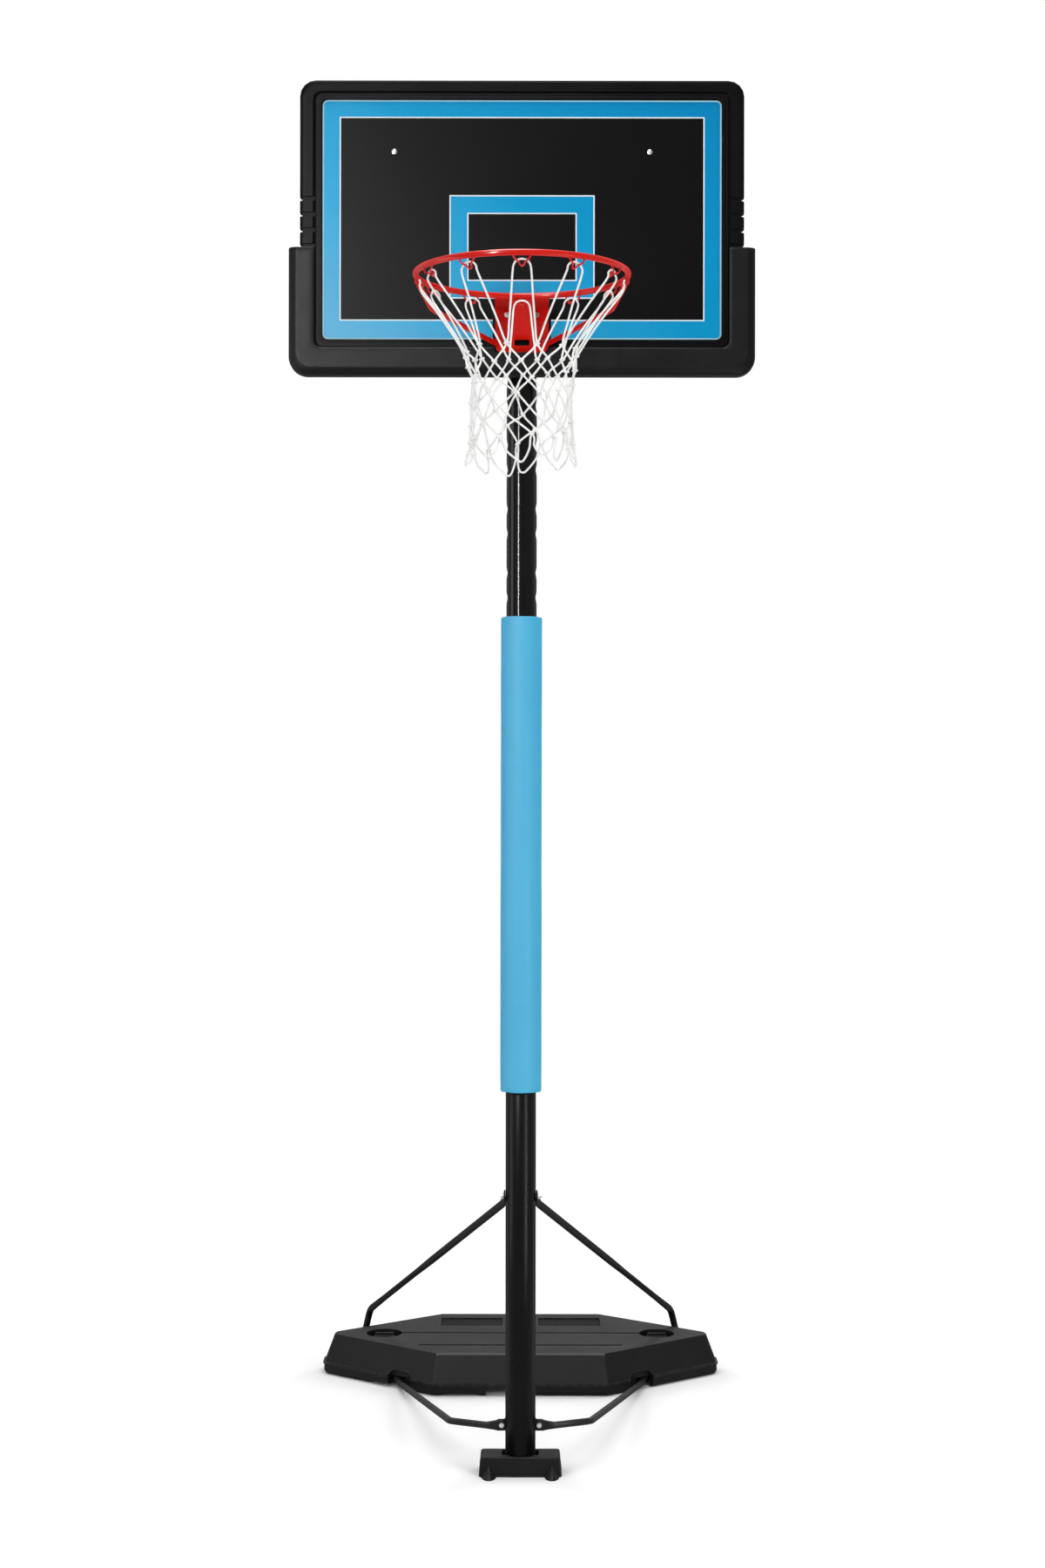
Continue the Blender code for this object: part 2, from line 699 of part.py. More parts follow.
def build_lock():
    """A threaded boss on the back of the middle pole, and the clamping knob in it."""
    boss_end = SLEEVE_OUTER + BOSS_LENGTH
    boss = add_part("lock_boss", rods_mesh("lock_boss", [
        ((0, SLEEVE_OUTER * 0.8, KNOB_Z), (0, boss_end, KNOB_Z))], BOSS_RADIUS, 16), "powder black")
    seat = rods_mesh("boss_seat", [((0, 0, KNOB_Z - BOSS_RADIUS * 2), (0, 0, KNOB_Z + BOSS_RADIUS * 2))],
                     SLEEVE_OUTER + GAP, 32)
    boolean(boss, add_cutter("boss_seat", seat))
    bore = rods_mesh("boss_bore", [((0, 0, KNOB_Z), (0, boss_end * 2, KNOB_Z))],
                     KNOB_SHAFT_RADIUS + BOLT_CLEARANCE)
    boolean(boss, add_cutter("boss_bore", bore))
    tip = POLE_RADIUS + GAP
    grip_start = boss_end + KNOB_STANDOFF
    sides = 24
    stations = (
        (tip, None, KNOB_SHAFT_RADIUS), (grip_start, None, KNOB_SHAFT_RADIUS),
        (grip_start, None, KNOB_SHAFT_RADIUS * 2), (grip_start + 0.004, 0.8, KNOB_RADIUS * 0.8),
        (grip_start + 0.008, 1.0, KNOB_RADIUS), (grip_start + KNOB_LENGTH * 0.8, 1.0, KNOB_RADIUS),
        (grip_start + KNOB_LENGTH, 0.8, KNOB_RADIUS * 0.86),
    )
    rings = []
    for y, lobes, radius in stations:
        ring = []
        for i in range(sides):
            angle = 2 * math.pi * i / sides
            reach = radius + (KNOB_LOBE * lobes * math.cos(KNOB_LOBES * angle) if lobes else 0)
            ring.append((reach * math.cos(angle), y, reach * math.sin(angle)))
        rings.append(ring)
    knob = add_part("lock_knob", loft_mesh("lock_knob", rings), "moulded black")
    knob.location = (0, 0, KNOB_Z)


# Foot

def build_foot():
    half_width, half_depth = FOOT_WIDTH / 2, FOOT_DEPTH / 2
    rings = []
    for share, height in ((0.12, 0.0), (0.0, 0.003), (0.85, FOOT_HEIGHT - 0.003), (1.3, FOOT_HEIGHT)):
        x = half_width - FOOT_TAPER * share
        y = half_depth - FOOT_TAPER * share
        outline = rounded([(-x, -y), (x, -y), (x, y), (-x, y)], 0.006, 2)
        rings.append([(px, py, height) for px, py in outline])
    foot = add_part("pole_foot", loft_mesh("pole_foot", rings), "moulded black")
    for side in (-1, 1):
        toe = bpy.data.meshes.new("toe")
        shape = bmesh.new()
        bmesh.ops.create_cone(shape, cap_ends=True, segments=24, radius1=TOE_RADIUS, radius2=0.0015,
                              depth=TOE_HEIGHT)
        stretch = TOE_REACH / TOE_RADIUS
        middle = (side * TOE_SPACING / 2, -half_depth + FOOT_TAPER / 2, TOE_HEIGHT / 2)
        bmesh.ops.transform(shape, verts=shape.verts,
                            matrix=Matrix.Translation(middle) @ Matrix.Diagonal((1, stretch, 1, 1)))
        shape.to_mesh(toe)
        shape.free()
        boolean(foot, add_cutter("toe", toe), "UNION")
    pocket = rods_mesh("foot_pocket", [((0, 0, FOOT_FLOOR), (0, 0, FOOT_HEIGHT * 2))],
                       POLE_RADIUS + GAP, 32)
    boolean(foot, add_cutter("foot_pocket", pocket))
    relief_z = FOOT_FLOOR + 0.004
    relief = boxes_mesh("foot_relief", [(
        (-FOOT_RELIEF_WIDTH / 2, -FOOT_RELIEF_DEPTH * 0.39, relief_z),
        (FOOT_RELIEF_WIDTH / 2, FOOT_RELIEF_DEPTH * 0.61, FOOT_HEIGHT * 2))])
    boolean(foot, add_cutter("foot_relief", relief))


# Ballast tank

def tank_walls():
    """Corners of the tank at its parting line, in order round it."""
    return [Vector(corner) for corner in (
        (-TANK_HALF_FRONT, TANK_FRONT), (TANK_HALF_FRONT, TANK_FRONT),
        (TANK_HALF_SIDE, TANK_SIDE_FRONT), (TANK_HALF_SIDE, TANK_SIDE_BACK),
        (TANK_HALF_FRONT, TANK_BACK), (-TANK_HALF_FRONT, TANK_BACK),
        (-TANK_HALF_SIDE, TANK_SIDE_BACK), (-TANK_HALF_SIDE, TANK_SIDE_FRONT))]


def tank_outline(lean):
    """The tank's outline with every wall moved in alike: 0 at the parting line, 1 at the top."""
    walls = tank_walls()
    moved = []
    for i, here in enumerate(walls):
        back = (here - walls[i - 1]).normalized()
        on = (walls[(i + 1) % len(walls)] - here).normalized()
        inward = Vector((-back.y, back.x)) + Vector((-on.y, on.x))
        moved.append(here + inward * (TANK_DRAFT * lean / (1 + back.dot(on))))
    return rounded(moved, TANK_CORNER, 2)


def rear_wall():
    """A point on the right rear wall at the parting line, its level normal and its outward normal."""
    side, back = tank_walls()[3], tank_walls()[4]
    along = (side - back).normalized()
    level = Vector((-along.y, along.x))
    outward = Vector((level.x, level.y, TANK_DRAFT / (TANK_HEIGHT - TANK_PARTING))).normalized()
    return back, level, outward


def rear_wall_point(x, z):
    """The point of that wall at a distance to the side and a height."""
    back, level, outward = rear_wall()
    lean = TANK_DRAFT * (z - TANK_PARTING) / (TANK_HEIGHT - TANK_PARTING)
    return Vector((x, (level.dot(back) - lean - level.x * x) / level.y, z))


def arch(width, height, steps=5):
    """A doorway outline, its foot a little below the floor."""
    half = width / 2
    radius = min(half, height) * 0.6
    return [(-half, -0.01)] + arc((-half + radius, height - radius), radius, 180, 90, steps) + arc(
        (half - radius, height - radius), radius, 90, 0, steps) + [(half, -0.01)]


def strut_direction():
    """Plan direction of a lower strut where it goes under the tank."""
    return (Vector(LOWER_AT_TANK).xy - Vector(LOWER_BEND).xy).normalized()


def build_tank():
    top = TANK_HEIGHT
    parting = TANK_PARTING
    lip = TANK_LIP / TANK_DRAFT
    levels = (
        (0.0, 0.40), (0.003, 0.14), (0.010, 0.0), (parting - 0.002, 0.0), (parting - 0.001, -lip),
        (parting + 0.003, -lip), (parting + 0.004, 0.05), (top - 0.0035, 0.95), (top, 1.09),
    )
    rings = [[(x, y, z) for x, y in tank_outline(lean)] for z, lean in levels]
    tank = add_part("base_tank", loft_mesh("base_tank", rings, 20), "moulded black")
    cut_wells(tank, top)
    centre_half = WELL_X - WELL_RADIUS - 0.003
    grooves = [
        ((-centre_half, CENTRE_GROOVE_Y - GROOVE_WIDTH / 2, top - GROOVE_DEPTH),
         (centre_half, CENTRE_GROOVE_Y + GROOVE_WIDTH / 2, top * 2)),
        ((-FRONT_GROOVE_HALF, FRONT_GROOVE_Y - GROOVE_WIDTH / 2, top - GROOVE_DEPTH),
         (FRONT_GROOVE_HALF, FRONT_GROOVE_Y + GROOVE_WIDTH / 2, top * 2)),
    ]
    for side in (-1, 1):
        near, far = sorted((side * RECESS_INNER_X, side * RECESS_OUTER_X))
        grooves.append(((near, RECESS_FRONT, top - RECESS_DEPTH), (far, RECESS_BACK, top * 2)))
    boolean(tank, add_cutter("tank_grooves", boxes_mesh("tank_grooves", grooves)))
    cut_strut_ways(tank)
    cut_wheel_housings(tank)
    notch_centre = (NOTCH_LEFT + NOTCH_RIGHT) / 2
    notch = plate_mesh("front_notch", [arch(NOTCH_RIGHT - NOTCH_LEFT, NOTCH_HEIGHT)], NOTCH_DEPTH * 2,
                       Matrix.Translation((notch_centre, 0, 0)) @ facing(TANK_FRONT))
    boolean(tank, add_cutter("front_notch", notch))
    cut_bows(tank)


def bow(width, height, steps=8):
    """A low bow's outline, its foot a little below the floor."""
    half = width / 2
    spans = [2 * i / steps - 1 for i in range(steps + 1)]
    return [(-half, -0.01)] + [(half * at, height * (1 - at ** 4)) for at in spans] + [(half, -0.01)]


def slant_turn():
    """The right slanted front wall's level direction, looking into the tank."""
    front, side = tank_walls()[1], tank_walls()[2]
    along = (side - front).normalized()
    return Vector((-along.y, along.x))


def cut_bows(tank):
    """Low bows that leave the tank on feet at its left front."""
    centre, width, height = FRONT_BOW
    mesh = plate_mesh("front_bow", [bow(width, height)], BOW_DEPTH * 2,
                      Matrix.Translation((centre, 0, 0)) @ facing(TANK_FRONT))
    boolean(tank, add_cutter("front_bow", mesh))
    centre, width, height = SLANT_BOW
    slope = (TANK_SIDE_FRONT - TANK_FRONT) / (TANK_HALF_SIDE - TANK_HALF_FRONT)
    wall = Vector((centre, TANK_FRONT + (abs(centre) - TANK_HALF_FRONT) * slope, 0))
    inward = slant_turn()
    mesh = plate_mesh("slant_bow", [bow(width, height)], BOW_DEPTH * 2,
                      Matrix.Translation(wall) @ heading_turn(Vector((-inward.x, inward.y, 0))))
    boolean(tank, add_cutter("slant_bow", mesh))


def cut_wells(tank, top):
    """Round wells in the deck, each keeping a neck for its screw cap."""
    neck = FILL_CAP_RADIUS - FILL_CAP_WALL - GAP
    for side, word in ((-1, "left"), (1, "right")):
        name = word + "_well"
        well = turned(name, ring_profile(neck, WELL_RADIUS, top - WELL_DEPTH, top * 1.5),
                      "moulded black", 24, closed=True)
        PARTS.objects.unlink(well)
        CUTTERS.objects.link(well)
        well.hide_render = True
        well.display_type = "WIRE"
        well.location = (side * WELL_X, WELL_Y, 0)
        boolean(tank, well)
        neck_top = top - WELL_DEPTH + NECK_HEIGHT
        crown = rods_mesh(word + "_neck_top", [(
            (side * WELL_X, WELL_Y, neck_top), (side * WELL_X, WELL_Y, top * 1.5))],
            WELL_RADIUS * 0.8, 24)
        boolean(tank, add_cutter(word + "_neck_top", crown))


def cut_strut_ways(tank):
    """A scoop in each slanted front wall, and a tunnel under the tank for the strut's end."""
    along = strut_direction()
    inward = slant_turn()
    for side, word in ((-1, "left"), (1, "right")):
        wall = Vector((side * LOWER_AT_TANK[0], LOWER_AT_TANK[1], 0))
        heading = Vector((side * inward.x, inward.y, 0))
        mesh = plate_mesh(word + "_scoop", [arch(SCOOP_WIDTH, SCOOP_HEIGHT)], SCOOP_DEPTH * 2,
                          Matrix.Translation(wall) @ heading_turn(heading))
        boolean(tank, add_cutter(word + "_scoop", mesh))
        end = Vector((side * LOWER_END[0], LOWER_END[1], 0))
        flat = Vector((side * along.x, along.y, 0))
        length = (end - wall).length + STRUT_FLAT_HALF_WIDTH * 2
        tunnel = boxes_mesh(word + "_tunnel", [(
            (-TUNNEL_WIDTH / 2, -TUNNEL_WIDTH, -0.01), (TUNNEL_WIDTH / 2, length, TUNNEL_HEIGHT))])
        across = Vector((flat.y, -flat.x, 0))
        tunnel.transform(Matrix.Translation(wall) @ Matrix((
            (across.x, flat.x, 0, 0), (across.y, flat.y, 0, 0), (0, 0, 1, 0), (0, 0, 0, 1))))
        boolean(tank, add_cutter(word + "_tunnel", tunnel))


def heading_turn(heading):
    """Turns an outline drawn in x, z so that it faces a level heading."""
    across = Vector((-heading.y, heading.x, 0))
    return Matrix((
        (across.x, 0, heading.x, 0), (across.y, 0, heading.y, 0), (0, 1, 0, 0), (0, 0, 0, 1)))


def cut_wheel_housings(tank):
    half = WHEEL_WIDTH / 2 + WHEEL_SIDE_GAP
    room = WHEEL_RADIUS + 0.006
    ways = []
    slots = []
    spans = []
    for side in (-1, 1):
        middle = side * WHEEL_X
        ways.append(((middle - half, WHEEL_Y - room, -0.01), (middle + half, TANK_BACK + 0.1,
                                                              WHEEL_Z + room)))
        reach = half + AXLE_GRIP + GAP
        spans.append(((middle - reach, WHEEL_Y, WHEEL_Z),
                      (middle + reach, WHEEL_Y, WHEEL_Z)))
        slots.append(((middle - reach, WHEEL_Y - AXLE_RADIUS * 0.8, -0.01),
                      (middle + reach, WHEEL_Y + AXLE_RADIUS * 0.8, WHEEL_Z)))
    boolean(tank, add_cutter("wheel_housings", boxes_mesh("wheel_housings", ways)))
    boolean(tank, add_cutter("axle_slots", boxes_mesh("axle_slots", slots)))
    boolean(tank, add_cutter("axle_holes", rods_mesh("axle_holes", spans, AXLE_RADIUS + BOLT_CLEARANCE)))


def build_wheels_and_caps():
    half = WHEEL_WIDTH / 2
    hub_half = half + WHEEL_SIDE_GAP - GAP
    bore = AXLE_RADIUS + BOLT_CLEARANCE
    rim_inner = WHEEL_RADIUS * 0.72
    profile = [
        (bore, hub_half), (WHEEL_HUB_RADIUS, hub_half), (WHEEL_HUB_RADIUS, WHEEL_WEB / 2),
        (rim_inner, WHEEL_WEB / 2), (rim_inner, half), (WHEEL_RADIUS - 0.004, half),
        (WHEEL_RADIUS, half - 0.004),
    ]
    profile += [(radius, -height) for radius, height in reversed(profile)]
    for side, word in ((-1, "left"), (1, "right")):
        wheel = turned(word + "_wheel", profile, "wheel grey", 16, closed=True)
        wheel.rotation_euler = (0, math.radians(90), 0)
        wheel.location = (side * WHEEL_X, WHEEL_Y, WHEEL_Z)
        reach = half + WHEEL_SIDE_GAP + AXLE_GRIP
        axle = rods_mesh(word + "_axle", [(
            (side * WHEEL_X - reach, WHEEL_Y, WHEEL_Z),
            (side * WHEEL_X + reach, WHEEL_Y, WHEEL_Z))], AXLE_RADIUS)
        add_part(word + "_axle", axle, "zinc")
        build_fill_cap(side, word)


def build_fill_cap(side, word):
    """A screw cap turned over the neck in its well, with a bar to grip."""
    floor = TANK_HEIGHT - WELL_DEPTH
    skirt_bottom = floor + GAP
    roof = floor + NECK_HEIGHT + GAP
    crown = skirt_bottom + FILL_CAP_HEIGHT
    bore = FILL_CAP_RADIUS - FILL_CAP_WALL
    cap = turned(word + "_fill_cap", [
        (0, crown), (FILL_CAP_RADIUS - 0.003, crown), (FILL_CAP_RADIUS, crown - 0.003),
        (FILL_CAP_RADIUS, skirt_bottom), (bore, skirt_bottom), (bore, roof), (0, roof),
    ], "moulded black", 24)
    cap.location = (side * WELL_X, WELL_Y, 0)
    half = FILL_CAP_RADIUS * 0.86
    bar = boxes_mesh(word + "_grip", [(
        (side * WELL_X - half, WELL_Y - GRIP_BAR_WIDTH / 2, roof + 0.001),
        (side * WELL_X + half, WELL_Y + GRIP_BAR_WIDTH / 2, crown + GRIP_BAR_HEIGHT))])
    boolean(cap, add_cutter(word + "_grip", bar), "UNION")


# Struts

def build_struts():
    build_upper_struts()
    build_lower_struts()
    build_lower_bracket()


def build_upper_struts():
    flat, thin, round_ = STRUT_FLAT_HALF_WIDTH, STRUT_FLAT_HALF, STRUT_RADIUS
    side_x = POLE_RADIUS + GAP + thin
    bolt = Vector((side_x, 0, UPPER_BOLT_Z))
    bend = Vector(UPPER_BEND)
    slope = Vector((0, bend.y, bend.z - UPPER_BOLT_Z)).normalized()
    press = Vector((1, 0, 0))
    on_wall = rear_wall_point(UPPER_END_X, UPPER_END_Z)
    normal = rear_wall()[2]
    rise = bend - on_wall
    rise = (rise - normal * rise.dot(normal)).normalized()

    def on_the_wall(up, half_thin):
        return on_wall + rise * up + normal * (GAP + half_thin)

    foot = on_the_wall(0, thin)
    start = bolt + slope * 0.070 + press * 0.006
    run = (bend - start).normalized()
    drop_start = on_the_wall(0.040, round_)
    drop = (drop_start - bend).normalized()
    stations = [
        (bolt - slope * 0.015, press, flat * 0.55, thin),
        (bolt - slope * 0.009, press, flat, thin),
        (bolt + slope * 0.020, press, flat, thin),
        (bolt + slope * 0.042 + press * 0.001, press, flat * 0.92, thin * 2),
        (start, press, round_, round_),
        (start.lerp(bend, 0.5), press, round_, round_),
        (bend - run * 0.022, normal, round_, round_),
        (bend - run * 0.009 + drop * 0.002, normal, round_, round_),
        (bend + drop * 0.009 - run * 0.002, normal, round_, round_),
        (bend + drop * 0.022, normal, round_, round_),
        (drop_start, normal, round_, round_),
        (on_the_wall(0.021, thin * 1.7), normal, flat * 0.96, thin * 1.7),
        (on_the_wall(0.013, thin), normal, flat, thin),
        (foot - rise * 0.009, normal, flat, thin),
        (foot - rise * 0.015, normal, flat * 0.55, thin),
    ]
    right = tube_mesh("right_upper_strut", stations)
    hole = STRUT_BOLT_RADIUS + BOLT_CLEARANCE
    screw = STRUT_BOLT_RADIUS * 0.9
    depth = 0.040
    spans = {}
    for side, word in ((-1, "left"), (1, "right")):
        name = word + "_upper_strut"
        mesh = right if side > 0 else mirrored(right, name)
        strut = add_part(name, mesh, "powder black")
        end = Vector((side * foot.x, foot.y, foot.z))
        out = Vector((side * normal.x, normal.y, normal.z))
        spans[word] = (end - out * (depth + 0.012), end + out * 0.03)
        holes = rods_mesh(name + "_holes", [
            ((side * side_x - 0.02, 0, UPPER_BOLT_Z), (side * side_x + 0.02, 0, UPPER_BOLT_Z)),
            spans[word]], hole)
        boolean(strut, add_cutter(name + "_holes", holes))
        fastener(word + "_rear_strut_screw", hex_screw(end + out * thin, -out, depth, screw))
    boolean(bpy.data.objects["base_tank"], add_cutter("rear_screw_holes", rods_mesh(
        "rear_screw_holes", [spans["left"], spans["right"]], hole)))
    half_grip = side_x + thin
    fastener("upper_strut_bolt", hex_bolt((-half_grip, 0, UPPER_BOLT_Z), (1, 0, 0), 2 * half_grip,
                                          STRUT_BOLT_RADIUS))


def build_lower_struts():
    flat, thin, round_ = STRUT_FLAT_HALF_WIDTH, STRUT_FLAT_HALF, LOWER_STRUT_RADIUS
    press = Vector((0, 1, 0))
    up = Vector((0, 0, 1))
    ear = Vector((lower_bolt_x(), -GAP - thin, LOWER_JOINT_Z))
    bend = Vector(LOWER_BEND)
    at_tank = Vector(LOWER_AT_TANK)
    end = Vector((*LOWER_END, TUNNEL_HEIGHT - GAP - thin))
    out = Vector((1, 0, 0))
    round_start = ear + out * 0.036
    run = (bend - round_start).normalized()
    slope = (at_tank - bend).normalized()
    inner = up.cross(slope)
    level = (end - at_tank)
    level.z = 0
    level.normalize()
    stations = [
        (ear - out * 0.0055, press, flat * 0.7, thin),
        (ear - out * 0.003, press, flat, thin),
        (ear + out * (STRAP_EAR_MARGIN + 0.001), press, flat, thin),
        (ear + out * (STRAP_EAR_MARGIN + 0.008), press, flat * 0.85, thin * 2.2),
        (round_start, press, round_, round_),
        (bend - run * 0.018, press, round_, round_),
        (bend - run * 0.007 + slope * 0.001, press * 2 + inner, round_, round_),
        (bend - run * 0.001 + slope * 0.007, press + inner * 2, round_, round_),
        (bend + slope * 0.018, inner, round_, round_),
        (bend.lerp(at_tank, 0.5), inner + up, round_, round_),
        (at_tank - slope * 0.05, up, round_, round_),
        (at_tank, up, round_, round_),
        (at_tank + level * 0.020 + up * 0.001, up, round_, round_),
        (end - level * 0.032 - up * thin, up, flat * 0.96, thin * 1.6),
        (end - level * 0.020, up, flat, thin),
        (end + level * 0.009, up, flat, thin),
        (end + level * 0.015, up, flat * 0.55, thin),
    ]
    right = tube_mesh("right_lower_strut", stations)
    hole = LOWER_BOLT_RADIUS + BOLT_CLEARANCE
    depth = 0.030
    grip = 2 * thin + GAP + STRAP_THICKNESS
    tank_spans = []
    for side, word in ((-1, "left"), (1, "right")):
        name = word + "_lower_strut"
        mesh = right if side > 0 else mirrored(right, name)
        strut = add_part(name, mesh, "powder black")
        tip = Vector((side * end.x, end.y, end.z))
        span = (tip - up * 0.02, tip + up * (depth + 0.008))
        tank_spans.append(span)
        holes = rods_mesh(name + "_holes", [
            ((side * ear.x, -0.03, ear.z), (side * ear.x, 0.03, ear.z)), span], hole)
        boolean(strut, add_cutter(name + "_holes", holes))
        fastener(word + "_front_strut_screw", hex_screw(tip - up * thin, up, depth,
                                                        LOWER_BOLT_RADIUS))
        fastener(word + "_lower_strut_bolt", hex_bolt((side * ear.x, -GAP - 2 * thin, ear.z),
                                                      (0, 1, 0), grip, LOWER_BOLT_RADIUS))
    boolean(bpy.data.objects["base_tank"], add_cutter(
        "front_screw_holes", rods_mesh("front_screw_holes", tank_spans, hole)))


def lower_bolt_x():
    """The lower struts' bolts stand just outside the strap."""
    return POLE_RADIUS + GAP + STRAP_THICKNESS + LOWER_BOLT_RADIUS * HEAD_TO_BOLT + GAP


def build_lower_bracket():
    """A strap welded round the back of the lower pole, with an ear on each side."""
    inner = POLE_RADIUS + GAP
    outer = inner + STRAP_THICKNESS
    ear_end = lower_bolt_x() + STRAP_EAR_MARGIN
    knee = math.degrees(math.asin(STRAP_THICKNESS / outer))
    outline = ([(ear_end, 0), (ear_end, STRAP_THICKNESS)]
               + arc((0, 0), outer, knee, 180 - knee, 16)
               + [(-ear_end, STRAP_THICKNESS), (-ear_end, 0)]
               + arc((0, 0), inner, 180, 0, 16))
    mesh = plate_mesh("lower_strut_bracket", [outline], STRAP_HEIGHT, lying(LOWER_JOINT_Z))
    bracket = add_part("lower_strut_bracket", mesh, "powder black")
    spans = [((side * lower_bolt_x(), -0.03, LOWER_JOINT_Z), (side * lower_bolt_x(), 0.03, LOWER_JOINT_Z))
             for side in (-1, 1)]
    boolean(bracket, add_cutter("ear_holes", rods_mesh(
        "ear_holes", spans, LOWER_BOLT_RADIUS + BOLT_CLEARANCE)))


# Pad

def build_pad():
    inner = SLEEVE_OUTER + GAP
    outer = inner + PAD_THICKNESS
    half_slit_outer = math.degrees(math.asin(PAD_SLIT / 2 / outer))
    half_slit_inner = math.degrees(math.asin(PAD_SLIT / 2 / inner))
    outline = (arc((0, 0), outer, 90 + half_slit_outer, 450 - half_slit_outer, 32)
               + arc((0, 0), inner, 450 - half_slit_inner, 90 + half_slit_inner, 32))
    bottom = SLEEVE_BOTTOM - PAD_BELOW_SLEEVE
    top = bottom + PAD_LENGTH
    pad = add_part("pole_pad", plate_mesh("pole_pad", [outline], PAD_LENGTH, lying((bottom + top) / 2)),
                   "pad blue")
    window = boxes_mesh("pad_window", [(
        (-PAD_WINDOW_WIDTH / 2, SLEEVE_INNER * 0.5, PAD_WINDOW_BOTTOM),
        (PAD_WINDOW_WIDTH / 2, outer * 2, top + 0.01))])
    boolean(pad, add_cutter("pad_window", window))
    joint_z = LOWER_POLE_TOP - JOINT_BOLT_BELOW_TOP
    room = JOINT_BOLT_RADIUS * HEAD_TO_BOLT + NUT_CLEARANCE
    head_room = JOINT_BOLT_RADIUS * HEAD_HEIGHT_TO_BOLT + BOLT_TAIL + NUT_CLEARANCE
    dents = rods_mesh("pad_dents", [
        ((-SLEEVE_OUTER - head_room, 0, joint_z), (SLEEVE_OUTER + head_room, 0, joint_z))], room)
    boolean(pad, add_cutter("pad_dents", dents))
    collar_room = add_cutter("collar_room", rods_mesh("collar_room", [(
        (0, 0, SLEEVE_TOP - COLLAR_HEIGHT - GAP), (0, 0, top + 0.01))],
        SLEEVE_OUTER + COLLAR_WALL + 2 * GAP, 32))
    boolean(pad, collar_room)
    skin = outer + GAP
    spread = math.degrees(CLOSURE_WIDTH / 2 / skin)
    strip = (arc((0, 0), skin + CLOSURE_THICKNESS, 90 - spread, 90 + spread, 8)
             + arc((0, 0), skin, 90 + spread, 90 - spread, 8))
    low = bottom + CLOSURE_END_MARGIN
    high = min(top, PAD_WINDOW_BOTTOM) - CLOSURE_END_MARGIN
    add_part("pad_closure_strip", plate_mesh("pad_closure_strip", [strip], high - low,
                                             lying((low + high) / 2)), "closure blue")


# Backboard

def board_outline(share, grow=0.0, steps=4):
    """Nested outlines of the board: 0 its edge, 1 the groove, 2 the panel; x and z pairs."""
    lean, ledge = min(share, 1.0), max(share - 1.0, 0.0)
    side = BOARD_WIDTH / 2 - BAND_SIDE * lean - LEDGE_SIDE * ledge + grow
    top = BOARD_TOP - BAND_TOP * lean - LEDGE_TOP * ledge + grow
    bottom = BOARD_BOTTOM + BAND_BOTTOM * lean + LEDGE_BOTTOM * ledge - grow
    radius = (BOARD_CORNER + (BAND_CORNER - BOARD_CORNER) * lean
              + (PANEL_CORNER - BAND_CORNER) * ledge + grow)
    return rounded([(-side, bottom), (side, bottom), (side, top), (-side, top)], radius, steps)


def build_board_frame():
    front, rear = BOARD_FRONT_Y, BOARD_REAR_Y
    stations = (
        (rear, 0.10), (rear - 0.002, 0.03), (rear - 0.006, 0.0),
        (front + 0.014, 0.0), (front + 0.005, 0.07), (front + 0.001, 0.2), (front, 0.4),
        (front, 0.85), (front + BAND_GROOVE, 0.97), (front + BAND_GROOVE, 1.0), (front, 1.12),
    )
    rings = [[(x, y, z) for x, z in board_outline(share)] for y, share in stations]
    for y in (front, SEAT_Y):
        rings.append([(x, y, z) for x, z in board_outline(2.0, PANEL_SLOT)])
    frame = add_part("backboard_frame", loft_mesh("backboard_frame", rings), "moulded black")
    boolean(frame, add_cutter("rear_pockets", pocket_mesh()))
    notches = []
    for side in (-1, 1):
        outer = side * BOARD_WIDTH / 2
        for i in range(GRIP_COUNT):
            low = GUARD_TOP + GRIP_PITCH * i + (GAP if i == 0 else 0)
            high = low + GRIP_NOTCH
            edge = sorted((outer + side * 0.01, outer - side * GRIP_NOTCH_DEPTH))
            face = sorted((outer + side * 0.01, outer - side * BAND_SIDE))
            notches.append(((edge[0], front - 0.01, low), (edge[1], rear + 0.01, high)))
            notches.append(((face[0], front - 0.01, low), (face[1], front + GRIP_CHANNEL_DEPTH, high)))
    edge_cut = add_cutter("grip_edges", boxes_mesh("grip_edges", notches[::2]))
    face_cut = add_cutter("grip_channels", boxes_mesh("grip_channels", notches[1::2]))
    boolean(frame, edge_cut)
    boolean(frame, face_cut)
    drill_board(frame)
    outline = board_outline(2.0)
    panel = add_part("backboard_panel", plate_mesh(
        "backboard_panel", [outline], PANEL_THICKNESS, facing((PANEL_FRONT_Y + PANEL_REAR_Y) / 2)),
        "board panel")
    drill_board(panel)


def pocket_mesh():
    """Square pockets in the board's back, in rows beside a solid middle and a solid band."""
    left, right = COLUMN_HALF, BOARD_WIDTH / 2 - POCKET_MARGIN
    width = (right - left - POCKET_RIB * (POCKET_COLUMNS - 1)) / POCKET_COLUMNS
    low, high = BOARD_BOTTOM + POCKET_MARGIN, BAR_Z - BAR_BAND_HALF
    row = (high - low - POCKET_RIB) / 2
    rows = [(low, low + row), (high - row, high), (BAR_Z + BAR_BAND_HALF, BOARD_TOP - POCKET_MARGIN)]

    def build(shape):
        for side in (-1, 1):
            for i in range(POCKET_COLUMNS):
                near = left + (width + POCKET_RIB) * i
                for bottom, top in rows:
                    add_pocket(shape, side, near, near + width, bottom, top)

    return mesh_of("rear_pockets", build)


